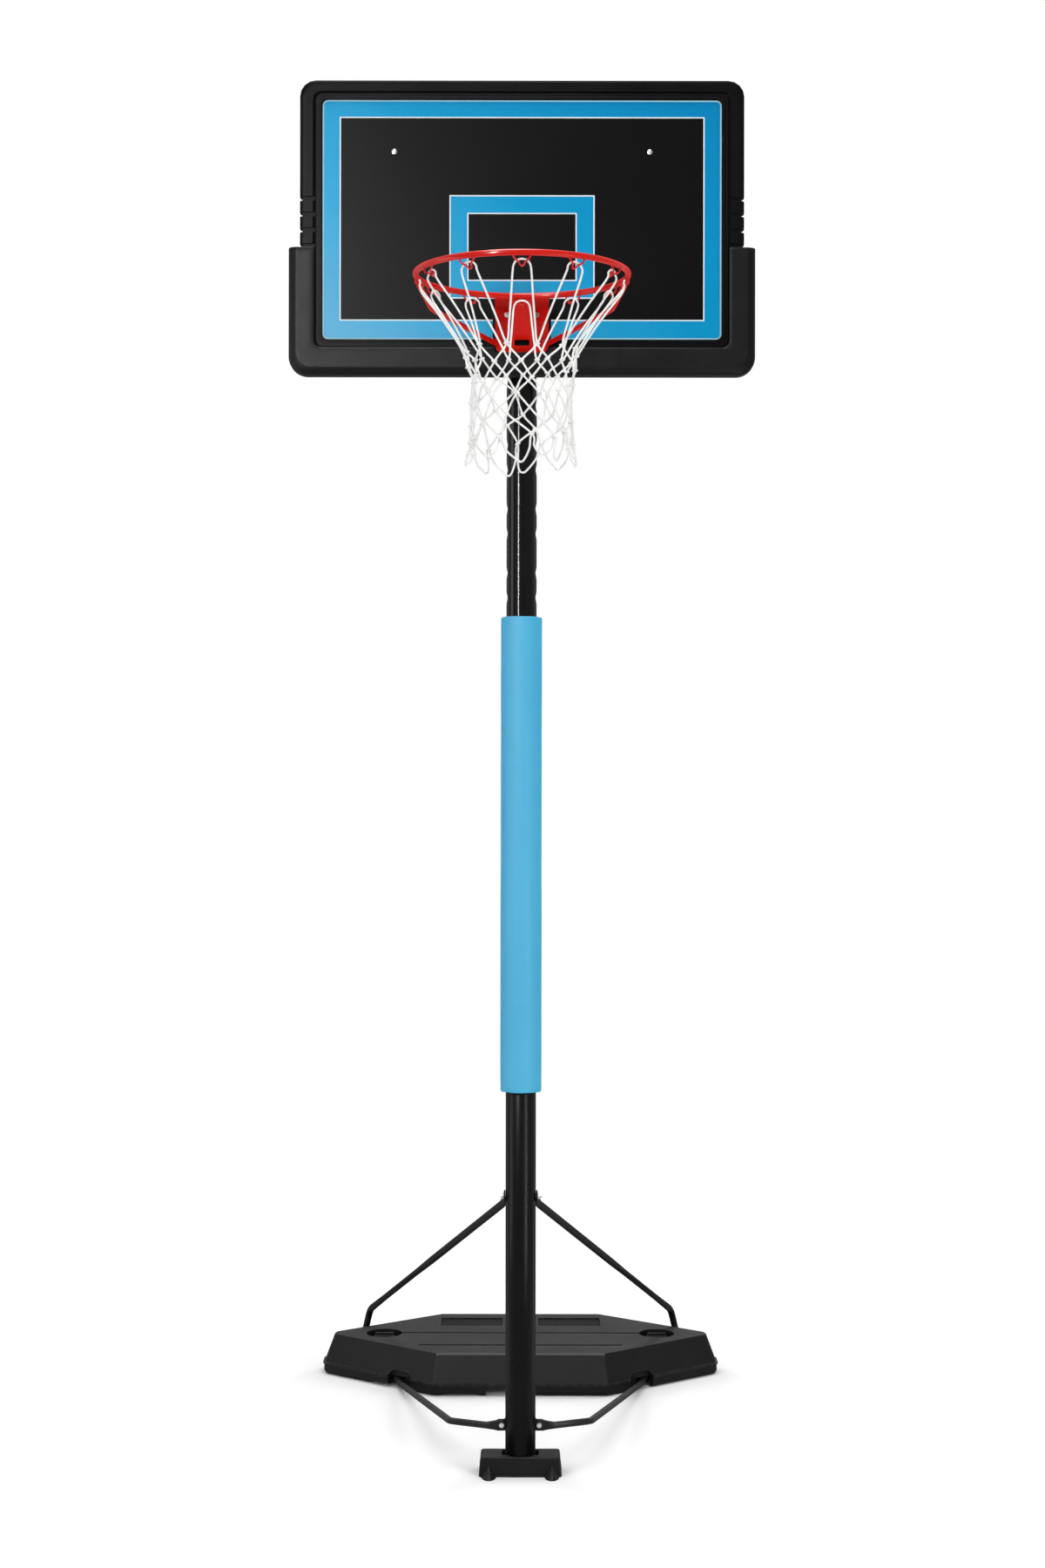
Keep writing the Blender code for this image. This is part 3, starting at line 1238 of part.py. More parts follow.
def add_pocket(shape, side, near, far, bottom, top):
    """One pocket with bevelled corners that narrows towards its floor."""
    rings = []
    for y, inset in ((BOARD_REAR_Y + 0.01, -0.003), (BOARD_REAR_Y - POCKET_DEPTH, 0.006)):
        x0, x1 = sorted((side * (near + inset), side * (far - inset)))
        corners = [(x0, bottom + inset), (x1, bottom + inset), (x1, top - inset), (x0, top - inset)]
        rings.append([shape.verts.new((x, y, z)) for x, z in rounded(corners, POCKET_CORNER, 1)])
    low, high = rings
    for i in range(len(low)):
        j = (i + 1) % len(low)
        shape.faces.new((low[i], low[j], high[j], high[i]))
    shape.faces.new(low)
    shape.faces.new(high)


def rim_bolt_places():
    return [(side * RIM_BOLT_SPACING / 2, z) for z in (UPPER_RIM_BOLT_Z, LOWER_RIM_BOLT_Z)
            for side in (-1, 1)]


def drill_board(part):
    """Holes for the rim bolts and the two long screws."""
    rim = [((x, -0.2, z), (x, 0, z)) for x, z in rim_bolt_places()]
    screws = [((side * SCREW_SPACING / 2, -0.2, BAR_Z), (side * SCREW_SPACING / 2, 0, BAR_Z))
              for side in (-1, 1)]
    boolean(part, add_cutter(part.name + "_rim_holes", rods_mesh(
        part.name + "_rim_holes", rim, RIM_BOLT_RADIUS + BOLT_CLEARANCE)))
    boolean(part, add_cutter(part.name + "_screw_holes", rods_mesh(
        part.name + "_screw_holes", screws, SCREW_RADIUS + BOLT_CLEARANCE)))


def guard_path(share, steps=4):
    """Half outlines of the guard: -1 its outer edge, 0 the board's edge, 1 the groove."""
    if share < 0:
        side = BOARD_WIDTH / 2 - GUARD_OUTSIDE * share
        bottom = BOARD_BOTTOM + GUARD_OUTSIDE * share
        radius = BOARD_CORNER + (BOARD_CORNER - GUARD_CORNER) * share
    else:
        side = BOARD_WIDTH / 2 - BAND_SIDE * share
        bottom = BOARD_BOTTOM + BAND_BOTTOM * share
        radius = BOARD_CORNER + (BAND_CORNER - BOARD_CORNER) * share
    left = arc((-side + radius, bottom + radius), radius, 180, 270, steps)
    right = arc((side - radius, bottom + radius), radius, 270, 360, steps)
    return [(-side, GUARD_TOP)] + left + right + [(side, GUARD_TOP)]


def build_guard():
    front, rear = BOARD_FRONT_Y - GAP, BOARD_REAR_Y + GAP
    skin = -GAP / GUARD_OUTSIDE
    lip = GUARD_REAR_LIP / BAND_SIDE
    profile = (
        (skin, rear), (lip, rear), (lip, rear + GUARD_REAR), (-0.55, rear + GUARD_REAR),
        (-0.90, rear + GUARD_REAR * 0.3), (-1.0, rear - GUARD_REAR * 0.8),
        (-1.0, front + GUARD_FRONT * 0.5), (-0.88, front - GUARD_FRONT * 0.45),
        (-0.5, front - GUARD_FRONT * 0.95), (-0.2, front - GUARD_FRONT),
        (0.93, front - GUARD_FRONT), (1.0, front - GUARD_FRONT * 0.7), (1.0, front), (skin, front),
    )
    paths = [guard_path(share) for share, y in profile]
    rings = []
    for i in range(len(paths[0])):
        rings.append([(path[i][0], y, path[i][1]) for path, (share, y) in zip(paths, profile)])
    guard = add_part("edge_guard", loft_mesh("edge_guard", rings), "foam black")
    half = BRACKET_WIDTH / 2 + GUARD_NOTCH_CLEARANCE
    notch = boxes_mesh("guard_notch", [(
        (-half, front - GUARD_FRONT * 2, RING_Z - BRACKET_BELOW_RING - GUARD_NOTCH_CLEARANCE),
        (half, front + 0.0001, RING_Z))])
    boolean(guard, add_cutter("guard_notch", notch))


def build_board_fixings():
    bar_rear = BOARD_REAR_Y + GAP + CROSS_BAR_DEPTH
    bar_front = BOARD_REAR_Y + GAP
    half = CROSS_BAR_WIDTH / 2
    bar = add_part("cross_bar", boxes_mesh("cross_bar", [(
        (-half, bar_front, BAR_Z - CROSS_BAR_HEIGHT / 2),
        (half, bar_rear, BAR_Z + CROSS_BAR_HEIGHT / 2))]), "powder black")
    wall = CROSS_BAR_WALL
    hollow = boxes_mesh("cross_bar_bore", [(
        (-half - 0.01, bar_front + wall, BAR_Z - CROSS_BAR_HEIGHT / 2 + wall),
        (half + 0.01, bar_rear - wall, BAR_Z + CROSS_BAR_HEIGHT / 2 - wall))])
    boolean(bar, add_cutter("cross_bar_bore", hollow))
    spans = [((side * SCREW_SPACING / 2, -0.2, BAR_Z), (side * SCREW_SPACING / 2, 0, BAR_Z))
             for side in (-1, 1)]
    boolean(bar, add_cutter("bar_holes", rods_mesh("bar_holes", spans, SCREW_RADIUS + BOLT_CLEARANCE)))
    weld_ears(bar, bar_rear - CROSS_BAR_WALL / 2, EAR_HEIGHT, BAR_Z)
    grip = bar_rear - PANEL_FRONT_Y
    for side, word in ((-1, "left"), (1, "right")):
        fastener(word + "_board_bolt", hex_bolt((side * SCREW_SPACING / 2, PANEL_FRONT_Y, BAR_Z),
                                                (0, 1, 0), grip, SCREW_RADIUS))
    build_pole_bracket()


def ear_outline(front, height, centre_z):
    """A side ear: square towards the board and round behind the pole; y and z pairs."""
    half = height / 2
    back = arc((EAR_BEHIND - half, centre_z), half, -90, 90, 8)
    return [(front, centre_z - half)] + back + [(front, centre_z + half)]


def weld_ears(part, front, height, z):
    """Ears welded to a part's back, one on each side of the pole, and the bolt through them."""
    near = POLE_RADIUS + GAP
    for side, word in ((-1, "left"), (1, "right")):
        name = word + "_ear_of_" + part.name
        mesh = plate_mesh(name, [ear_outline(front, height, z)], EAR_THICKNESS,
                          sideways(side * (near + EAR_THICKNESS / 2)))
        boolean(part, add_cutter(name, mesh), "UNION")
    reach = near + EAR_THICKNESS
    name = "ear_holes_of_" + part.name
    boolean(part, add_cutter(name, rods_mesh(name, [
        ((-reach * 2, 0, z), (reach * 2, 0, z))], BRACKET_BOLT_RADIUS + BOLT_CLEARANCE)))
    fastener(part.name + "_bolt", hex_bolt((-reach, 0, z), (1, 0, 0), 2 * reach,
                                           BRACKET_BOLT_RADIUS))


def build_pole_bracket():
    """A plate that the rim bolts clamp to the board's back, with two ears for the pole."""
    front = BOARD_REAR_Y + GAP
    rear = front + PLATE_THICKNESS
    top = UPPER_RIM_BOLT_Z + PLATE_MARGIN
    bottom = LOWER_RIM_BOLT_Z - PLATE_MARGIN
    half = RIM_BOLT_SPACING / 2 + PLATE_MARGIN
    outline = rounded([(-half, bottom), (half, bottom), (half, top), (-half, top)], PLATE_CORNER, 2)
    plate = add_part("pole_bracket", plate_mesh("pole_bracket", [outline], PLATE_THICKNESS,
                                                facing((front + rear) / 2)), "powder black")
    height = RIM_BOLT_DROP - 2 * (RIM_BOLT_RADIUS * HEAD_TO_BOLT + NUT_CLEARANCE)
    weld_ears(plate, rear - PLATE_THICKNESS / 2, height, bracket_bolt_height())
    rim = [((x, -0.2, z), (x, -POLE_RADIUS * 0.9, z)) for x, z in rim_bolt_places()]
    boolean(plate, add_cutter("plate_rim_holes", rods_mesh(
        "plate_rim_holes", rim, RIM_BOLT_RADIUS + BOLT_CLEARANCE)))
    for (x, z), word in zip(rim_bolt_places(), (
            "upper_left", "upper_right", "lower_left", "lower_right")):
        fastener(word + "_rim_bolt", hex_bolt((x, BRACKET_FRONT_Y, z), (0, 1, 0),
                                              rear - BRACKET_FRONT_Y, RIM_BOLT_RADIUS))


# Rim

def build_rim():
    sides, around = 8, 42

    def build(shape):
        rows = []
        for i in range(around):
            angle = 2 * math.pi * i / around
            row = []
            for k in range(sides):
                turn = 2 * math.pi * (k + 0.5) / sides
                reach = RING_RADIUS + RING_ROD_RADIUS * math.cos(turn)
                row.append(shape.verts.new((reach * math.cos(angle), RING_Y + reach * math.sin(angle),
                                            RING_Z + RING_ROD_RADIUS * math.sin(turn))))
            rows.append(row)
        for low, high in zip(rows, rows[1:] + rows[:1]):
            for k in range(sides):
                j = (k + 1) % sides
                shape.faces.new((low[k], low[j], high[j], high[k]))

    ring = add_part("rim_ring", mesh_of("rim_ring", build, 60), "rim red")
    boolean(ring, add_cutter("net_hooks", hooks_mesh()), "UNION")
    build_rim_bracket()
    build_gusset()
    build_braces()


def build_rim_bracket():
    """One bent sheet: a face against the board and a shelf out to the ring."""
    half = BRACKET_WIDTH / 2
    low = RING_Z - BRACKET_BELOW_RING
    shelf_z = BRACKET_TOP_Z - BRACKET_SHEET / 2
    reach = RING_RADIUS + RING_ROD_RADIUS + GAP
    sweep = math.degrees(math.asin(half / reach))
    arc_points = arc((0, RING_Y), reach, 90 + sweep, 90 - sweep, 10)
    outline = arc_points + [(half, BRACKET_REAR_Y), (-half, BRACKET_REAR_Y)]
    bracket = add_part("rim_bracket", plate_mesh("rim_bracket", [outline], BRACKET_SHEET,
                                                 lying(shelf_z)), "rim red")
    corner = BRACKET_CORNER
    face = ([(half, BRACKET_TOP_Z - BRACKET_SHEET * 0.5), (-half, BRACKET_TOP_Z - BRACKET_SHEET * 0.5)]
            + arc((-half + corner, low + corner), corner, 180, 270, 3)
            + arc((half - corner, low + corner), corner, 270, 360, 3))
    face_mesh = plate_mesh("bracket_face", [face], BRACKET_SHEET,
                           facing((BRACKET_REAR_Y + BRACKET_FRONT_Y) / 2))
    boolean(bracket, add_cutter("bracket_face", face_mesh), "UNION")
    rim = [((x, -0.2, z), (x, 0, z)) for x, z in rim_bolt_places()]
    boolean(bracket, add_cutter("bracket_holes", rods_mesh(
        "bracket_holes", rim, RIM_BOLT_RADIUS + BOLT_CLEARANCE)))


def build_gusset():
    """A folded channel that props the shelf from the face, with a slot near its foot."""
    back = BRACKET_FRONT_Y - GAP
    top = BRACKET_TOP_Z - BRACKET_SHEET - GAP
    nose = back - GUSSET_RUN
    low = top - GUSSET_DROP
    toe = 0.008
    outline = [(back, top), (nose, top), (nose, top - toe), (back - toe, low), (back, low)]
    gusset = add_part("rim_gusset", plate_mesh("rim_gusset", [outline], GUSSET_WIDTH, sideways(0)),
                      "rim red")
    wall = BRACKET_SHEET
    hollow = [(back + 0.02, top + 0.02), (nose + wall * 3, top + 0.02), (nose + wall * 3, top - wall * 2.2),
              (back - wall, low + wall * 2.5), (back + 0.02, low + wall * 2.5)]
    boolean(gusset, add_cutter("gusset_hollow", plate_mesh(
        "gusset_hollow", [hollow], GUSSET_WIDTH - 2 * wall, sideways(0))))
    slot_z = low + GUSSET_DROP * 0.24
    half = GUSSET_SLOT_WIDTH / 2
    slot = boxes_mesh("gusset_slot", [(
        (-half, nose - 0.01, slot_z - GUSSET_SLOT_HEIGHT / 2),
        (half, back - wall - 0.001, slot_z + GUSSET_SLOT_HEIGHT / 2))])
    boolean(gusset, add_cutter("gusset_slot", slot))


def build_braces():
    """Round stays from under the ring's sides to the bracket's lower corners."""
    radius = BRACE_RADIUS
    angle = math.radians(BRACE_RING_ANGLE)
    ring_end = Vector((RING_RADIUS * math.cos(angle), RING_Y + RING_RADIUS * math.sin(angle),
                       RING_Z - RING_ROD_RADIUS - GAP - radius))
    bend = Vector((BRACE_BEND[0], BOARD_FRONT_Y - BRACE_BEND[1], RING_Z - BRACE_BEND[2]))
    thin = radius * 0.42
    foot = Vector((BRACE_END_X, BRACKET_FRONT_Y - GAP - thin, RING_Z - BRACE_END_BELOW_RING))
    run = (bend - foot).normalized()
    rise = (ring_end - bend).normalized()
    face = Vector((0, 1, 0))
    side = Vector((1, 0, 0))
    lift = foot + side * 0.020 - face * 0.012 + Vector((0, 0, 0.002))
    stations = [
        (foot - side * 0.003, face, radius * 1.2, thin),
        (foot + side * 0.006, face, radius * 1.3, thin),
        (lift, face, radius, radius),
        (lift.lerp(bend, 0.5), face, radius, radius),
        (bend - run * 0.020, face, radius, radius),
        (bend + rise * 0.004, face, radius, radius),
        (bend + rise * 0.024, face, radius, radius),
        (ring_end - rise * 0.012, face, radius, radius),
        (ring_end + Vector((0.001, -0.012, -0.0005)), face, radius, radius * 0.92),
    ]
    right = tube_mesh("right_brace", stations, 10)
    add_part("right_brace", right, "rim red")
    add_part("left_brace", mirrored(right, "left_brace"), "rim red")


def hooks_mesh():
    """Twelve bent wires welded under the ring: two legs, and a tongue turned in for the cord."""
    top = -RING_ROD_RADIUS
    bend = top - HOOK_WIRE - HOOK_DROP
    tip = bend - HOOK_TONGUE_DROP
    half = [
        (HOOK_LEG, 0.0, top),
        (HOOK_BEND, 0.0, bend),
        (HOOK_BEND * 0.45, -HOOK_TONGUE_REACH * 0.7, (bend * 2 + tip) / 3),
    ]
    shape = half + [(0.0, -HOOK_TONGUE_REACH, tip)] + [(-s, r, z) for s, r, z in reversed(half)]
    routes = []
    for i in range(HOOK_COUNT):
        angle = 2 * math.pi * i / HOOK_COUNT
        out = Vector((math.cos(angle), math.sin(angle), 0))
        along = Vector((-math.sin(angle), math.cos(angle), 0))
        centre = Vector((0, RING_Y, RING_Z)) + out * RING_RADIUS
        routes.append([centre + along * s + out * r + Vector((0, 0, z)) for s, r, z in shape])
    return wires_mesh("net_hooks", routes, HOOK_WIRE, 0)


# Net

def build_net():
    """Cord meshes hung on the hooks: each row of knots sits half a step round from the last."""
    step = 2 * math.pi / HOOK_COUNT

    def build(shape):
        def knot(angle, radius, drop):
            return shape.verts.new((radius * math.cos(angle), RING_Y + radius * math.sin(angle),
                                    RING_Z - drop))

        rows = []
        for i, (drop, radius) in enumerate(NET_ROWS):
            shift = step / 2 if i % 2 == 0 else 0.0
            rows.append([knot(step * k + shift, radius, drop) for k in range(HOOK_COUNT)])
        hang = RING_RADIUS - NET_HANG_IN
        half = NET_HANG_HALF / hang
        for k in range(HOOK_COUNT):
            left_knot, right_knot = rows[0][k - 1], rows[0][k]
            legs = []
            for side, end in ((-1, left_knot), (1, right_knot)):
                top = knot(step * k + side * half, hang, NET_HANG_DROP)
                leg = [top]
                for j in range(1, NET_LEG_STEPS):
                    share = j / NET_LEG_STEPS
                    angle = step * k + side * (half + (step / 2 - half) * share ** 1.5)
                    radius = hang + (NET_ROWS[0][1] - hang) * (share ** 0.86)
                    leg.append(knot(angle, radius, NET_HANG_DROP
                                    + (NET_ROWS[0][0] - NET_HANG_DROP) * share))
                legs.append(leg + [end])
            left, right = legs
            shape.faces.new(list(reversed(left)) + right + [rows[1][k]])
        for i in range(len(rows) - 2):
            shift = 0 if i % 2 == 0 else -1
            for k in range(HOOK_COUNT):
                top, bottom = rows[i][k], rows[i + 2][k]
                beside = rows[i + 1]
                first, second = ((k, (k + 1) % HOOK_COUNT) if shift == 0 else (k - 1, k))
                shape.faces.new((top, beside[first], bottom, beside[second]))

    net = add_part("net", mesh_of("net", build), "net white")
    lattice = net.modifiers.new("Cord", "WIREFRAME")
    lattice.thickness = CORD
    lattice.use_boundary = True
    lattice.use_replace = True
    lattice.use_even_offset = True


def main():
    clear_scene()
    make_collections()
    build_poles()
    build_foot()
    build_tank()
    build_struts()
    build_wheels_and_caps()
    build_pad()
    build_board_frame()
    build_guard()
    build_board_fixings()
    build_rim()
    build_net()


main()
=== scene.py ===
import math
import random

import bmesh
import bpy
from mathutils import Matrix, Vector


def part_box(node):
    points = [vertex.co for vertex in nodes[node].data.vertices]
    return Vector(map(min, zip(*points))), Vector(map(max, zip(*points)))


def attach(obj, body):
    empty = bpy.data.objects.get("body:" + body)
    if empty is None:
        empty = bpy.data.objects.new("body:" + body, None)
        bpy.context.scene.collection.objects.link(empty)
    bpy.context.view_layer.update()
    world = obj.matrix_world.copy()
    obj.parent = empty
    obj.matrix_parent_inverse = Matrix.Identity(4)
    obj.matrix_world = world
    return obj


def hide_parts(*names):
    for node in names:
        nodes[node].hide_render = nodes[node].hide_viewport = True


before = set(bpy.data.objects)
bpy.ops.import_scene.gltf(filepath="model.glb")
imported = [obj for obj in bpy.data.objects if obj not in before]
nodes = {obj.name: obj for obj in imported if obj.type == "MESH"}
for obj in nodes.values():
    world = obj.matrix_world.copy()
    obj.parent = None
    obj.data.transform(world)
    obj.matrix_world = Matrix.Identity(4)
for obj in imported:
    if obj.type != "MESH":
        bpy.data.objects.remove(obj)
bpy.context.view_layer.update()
print("frame loaded,", len(nodes), "nodes")


# Helpers for objects and nodes

def addToScene(name, data, place=(0, 0, 0)):
    item = bpy.data.objects.new(name, data)
    item.location = place
    bpy.context.scene.collection.objects.link(item)
    return item


def fillSockets(tree, node, inputs):
    # takes links and plain values alike, by socket name or number
    for key, value in inputs.items():
        socket = node.inputs[key]
        if isinstance(value, bpy.types.NodeSocket):
            tree.links.new(value, socket)
        else:
            socket.default_value = (*value, 1) if socket.type == "RGBA" else value
    return node


def addNode(tree, kind, inputs=None):
    return fillSockets(tree, tree.nodes.new("ShaderNode" + kind), inputs or {})


def mathNode(tree, operation, *values, clamp=False):
    node = addNode(tree, "Math")
    node.operation = operation
    node.use_clamp = clamp
    return fillSockets(tree, node, dict(enumerate(values))).outputs[0]


def times(tree, first, second, clamp=False):
    return mathNode(tree, "MULTIPLY", first, second, clamp=clamp)


def minus(tree, first, second):
    return mathNode(tree, "SUBTRACT", first, second)


def scaledSum(tree, value, factor, added, clamp=False):
    return mathNode(tree, "MULTIPLY_ADD", value, factor, added, clamp=clamp)


def absolute(tree, value):
    return mathNode(tree, "ABSOLUTE", value)


def largest(tree, first, *others):
    for other in others:
        first = mathNode(tree, "MAXIMUM", first, other)
    return first


def rangeNode(tree, value, low, high, toLow=0.0, toHigh=1.0, smooth=False):
    node = addNode(tree, "MapRange", {"Value": value, "From Min": low, "From Max": high,
                                      "To Min": toLow, "To Max": toHigh})
    if smooth:
        node.interpolation_type = "SMOOTHSTEP"
    return node.outputs["Result"]


def noiseNode(tree, vector, scale, detail=2.0, roughness=0.5):
    return addNode(tree, "TexNoise", {"Vector": vector, "Scale": scale, "Detail": detail,
                                      "Roughness": roughness}).outputs[0]


def mixColour(tree, factor, first, second):
    node = addNode(tree, "Mix")
    node.data_type = "RGBA"
    return fillSockets(tree, node, {0: factor, 6: first, 7: second}).outputs[2]


def objectPoint(tree):
    return addNode(tree, "TexCoord").outputs["Object"]


def partsOf(tree, vector):
    return addNode(tree, "SeparateXYZ", {0: vector}).outputs


# Camera, floor and light

studio = {
    "cameraPlace": (0.0, -5.681, 1.682),
    "roll": 0.08,                    # degrees
    "focalPixels": 2732.5, "imageHeight": 1800, "sensor": 36, "farClip": 60,
    "shift": (1.4 / 1800, -19 / 1800),
    "floorReach": 40, "floorMiddle": (0, 0.5, 0),
    "floorColour": (0.95, 0.95, 0.95),
    "floorLift": 0.21,               # glow of the floor near the stand, which keeps the shadow pale
    "floorShade": (0.55, 1.6),       # reach of the contact shade, and how fast it falls
    "shadeSamples": 8,
    "floorClear": (1.2, 2.7),        # from here to there the floor turns plain white
    "worldLevel": 0.26,
    "lamps": {                       # place, aim, width, height, watts
        "frontLeft": ((-3.0, -4.6, 2.5), (0.0, 0.0, 1.8), 1.4, 2.0, 72),
        "frontRight": ((3.2, -4.3, 2.1), (0.0, 0.0, 1.6), 1.3, 2.0, 92),
        "topBox": ((0.0, -0.4, 5.6), (0.0, 0.0, 1.0), 3.4, 3.4, 120),
        "rearLeft": ((-3.2, 3.4, 4.2), (0.0, 0.2, 1.0), 2.0, 2.6, 66),
        "rearRight": ((3.8, 3.2, 4.2), (0.0, 0.2, 1.0), 2.0, 2.6, 74),
    },
    "mirrorLamps": {                 # seen only in reflections: place, aim, width, height, radiance
        "leftSheen": ((-1.9, -4.0, 2.5), (0.0, 0.0, 2.7), 1.2, 1.3, 5.0),
        "leftStreak": ((-1.02, -2.40, 2.95), (0.0, 0.0, 2.95), 0.10, 1.7, 260.0),
        "topSheen": ((-0.3, -0.7, 5.2), (0.0, 0.0, 1.0), 1.3, 1.1, 34.0),
        "rightStreak": ((0.98, -1.13, 0.95), (0.0, 0.0, 0.95), 0.08, 1.8, 55.0),
        "leftSide": ((-2.40, -0.58, 1.55), (0.0, 0.0, 1.55), 0.9, 3.0, 5.0),
        "rearSheenLeft": ((-1.7, 4.3, 3.3), (0.0, 0.1, 2.4), 0.8, 2.4, 11.0),
        "rearSheenRight": ((1.5, 4.5, 2.2), (0.0, 0.1, 1.4), 0.5, 2.4, 11.0),
    },
}


def buildCamera():
    lens = bpy.data.cameras.new("photoLens")
    lens.sensor_width = studio["sensor"]
    lens.lens = studio["focalPixels"] / studio["imageHeight"] * lens.sensor_width
    lens.shift_x, lens.shift_y = studio["shift"]
    lens.clip_end = studio["farClip"]
    camera = addToScene("photoCamera", lens, studio["cameraPlace"])
    camera.rotation_euler = (math.radians(90), math.radians(-studio["roll"]), 0)
    bpy.context.scene.camera = camera


def addLamp(name, place, target, width, height, watts):
    data = bpy.data.lights.new(name, "AREA")
    data.shape = "RECTANGLE"
    data.size, data.size_y = width, height
    data.energy = watts
    lamp = addToScene(name, data, place)
    lamp.rotation_euler = (Vector(target) - lamp.location).to_track_quat("-Z", "Y").to_euler()
    lamp.visible_camera = False
    return lamp


def buildLamps():
    for name, (place, target, width, height, watts) in studio["lamps"].items():
        addLamp(name, place, target, width, height, watts).visible_glossy = False
    for name, (place, target, width, height, radiance) in studio["mirrorLamps"].items():
        watts = radiance * math.pi * width * height
        addLamp(name, place, target, width, height, watts).visible_diffuse = False


def seenDirectly(tree):
    # 1 for the camera, and for mirror and glass rays
    path = addNode(tree, "LightPath").outputs
    return largest(tree, path["Is Camera Ray"], path["Is Glossy Ray"], path["Is Transmission Ray"])


def buildWorld():
    world = bpy.data.worlds.new("paleStudio")
    world.use_nodes = True
    tree = world.node_tree
    level = rangeNode(tree, seenDirectly(tree), 0.0, 1.0, studio["worldLevel"])
    fillSockets(tree, tree.nodes["Background"], {"Color": (1, 1, 1), "Strength": level})
    bpy.context.scene.world = world


def buildFloor():
    reach = studio["floorReach"]
    mesh = bpy.data.meshes.new("studioFloor")
    mesh.from_pydata([(-reach, -reach, 0), (reach, -reach, 0), (reach, reach, 0), (-reach, reach, 0)],
                     [], [(0, 1, 2, 3)])
    floor = addToScene("studioFloor", mesh)
    material = bpy.data.materials.new("paleFloor")
    material.use_nodes = True
    tree = material.node_tree
    tree.nodes.remove(tree.nodes["Principled BSDF"])
    shadeReach, shadePower = studio["floorShade"]
    shade = addNode(tree, "AmbientOcclusion", {"Distance": shadeReach})
    shade.samples = studio["shadeSamples"]
    level = times(tree, mathNode(tree, "POWER", shade.outputs["AO"], shadePower), studio["floorLift"])
    matt = addNode(tree, "BsdfDiffuse", {"Color": studio["floorColour"]}).outputs[0]
    glow = addNode(tree, "Emission", {"Strength": level}).outputs[0]
    lit = addNode(tree, "AddShader", {0: matt, 1: glow}).outputs[0]
    white = addNode(tree, "Emission").outputs[0]
    away = addNode(tree, "VectorMath", {0: addNode(tree, "NewGeometry").outputs["Position"],
                                        1: studio["floorMiddle"]})
    away.operation = "DISTANCE"
    fade = rangeNode(tree, away.outputs["Value"], *studio["floorClear"], smooth=True)
    direct = addNode(tree, "MixShader", {0: fade, 1: lit, 2: white}).outputs[0]
    final = addNode(tree, "MixShader", {0: seenDirectly(tree), 1: matt, 2: direct}).outputs[0]
    tree.links.new(final, tree.nodes["Material Output"].inputs["Surface"])
    mesh.materials.append(material)


buildCamera()
buildLamps()
buildWorld()
buildFloor()
bpy.context.scene.view_settings.view_transform = "Standard"
print("camera, floor and light are in place")


# Shared surface effects

def newGroup(name, output, inputs):
    group = bpy.data.node_groups.new(name, "ShaderNodeTree")
    for label, value in inputs.items():
        socket = group.interface.new_socket(label, in_out="INPUT", socket_type="NodeSocketFloat")
        socket.default_value = value
    group.interface.new_socket(output, in_out="OUTPUT", socket_type="NodeSocketFloat")
    given, out = group.nodes.new("NodeGroupInput"), group.nodes.new("NodeGroupOutput")
    return group, given.outputs, out.inputs[output]


def buildMouldedGrain():
    # fine leathery texture of moulded plastic, with slow ripples in the wall
    tree, given, out = newGroup("mouldedGrain", "Height", {
        "Grain Scale": 900.0, "Ripple Scale": 14.0, "Ripple Share": 0.4})
    point = objectPoint(tree)
    cells = addNode(tree, "TexVoronoi")
    cells.feature = "SMOOTH_F1"
    fillSockets(tree, cells, {"Smoothness": 0.6, "Scale": given["Grain Scale"], "Vector": point})
    fine = noiseNode(tree, point, given["Grain Scale"], 3.0, 0.6)
    ripple = noiseNode(tree, point, given["Ripple Scale"], 2.0, 0.45)
    grain = scaledSum(tree, fine, 0.6, cells.outputs["Distance"])
    share = times(tree, ripple, given["Ripple Share"])
    tree.links.new(scaledSum(tree, grain, 0.35, share), out)
    return tree


def buildWornEdges():
    # where a corner is rubbed lighter: the rounded normal against the true one, broken up
    tree, given, out = newGroup("wornEdges", "Mask", {
        "Radius": 0.003, "Breakup Scale": 60.0, "Amount": 1.0})
    rounder = addNode(tree, "Bevel", {"Radius": given["Radius"]})
    rounder.samples = 6
    dot = addNode(tree, "VectorMath", {0: rounder.outputs[0],
                                       1: addNode(tree, "NewGeometry").outputs["Normal"]})
    dot.operation = "DOT_PRODUCT"
    edge = rangeNode(tree, dot.outputs["Value"], 0.995, 0.86)
    noise = noiseNode(tree, objectPoint(tree), given["Breakup Scale"], 4.0, 0.6)
    worn = times(tree, edge, rangeNode(tree, noise, 0.35, 0.65))
    tree.links.new(times(tree, worn, given["Amount"], clamp=True), out)
    return tree


def buildSmudges():
    # cloudy patches of handling, for colour and roughness
    tree, given, out = newGroup("smudges", "Mask", {"Scale": 9.0, "Contrast": 0.5})
    broad = noiseNode(tree, objectPoint(tree), given["Scale"], 5.0, 0.55)
    low = times(tree, given["Contrast"], 0.5)
    tree.links.new(rangeNode(tree, broad, low, minus(tree, 1.0, low)), out)
    return tree


def buildFineScratches():
    # thin random lines in three directions
    tree, given, out = newGroup("fineScratches", "Mask", {"Scale": 1.0, "Amount": 0.5})
    lines = []
    for turn, stretch in ((0.35, (900, 900, 14)), (1.25, (14, 700, 900)), (2.2, (800, 20, 700))):
        place = addNode(tree, "Mapping", {"Vector": objectPoint(tree), "Scale": stretch,
                                          "Rotation": (turn, turn * 0.4, turn * 0.7)})
        noise = noiseNode(tree, place.outputs["Vector"], given["Scale"], 1.0, 0.4)
        lines.append(rangeNode(tree, noise, 0.70, 0.78))
    tree.links.new(times(tree, largest(tree, *lines), given["Amount"], clamp=True), out)
    return tree


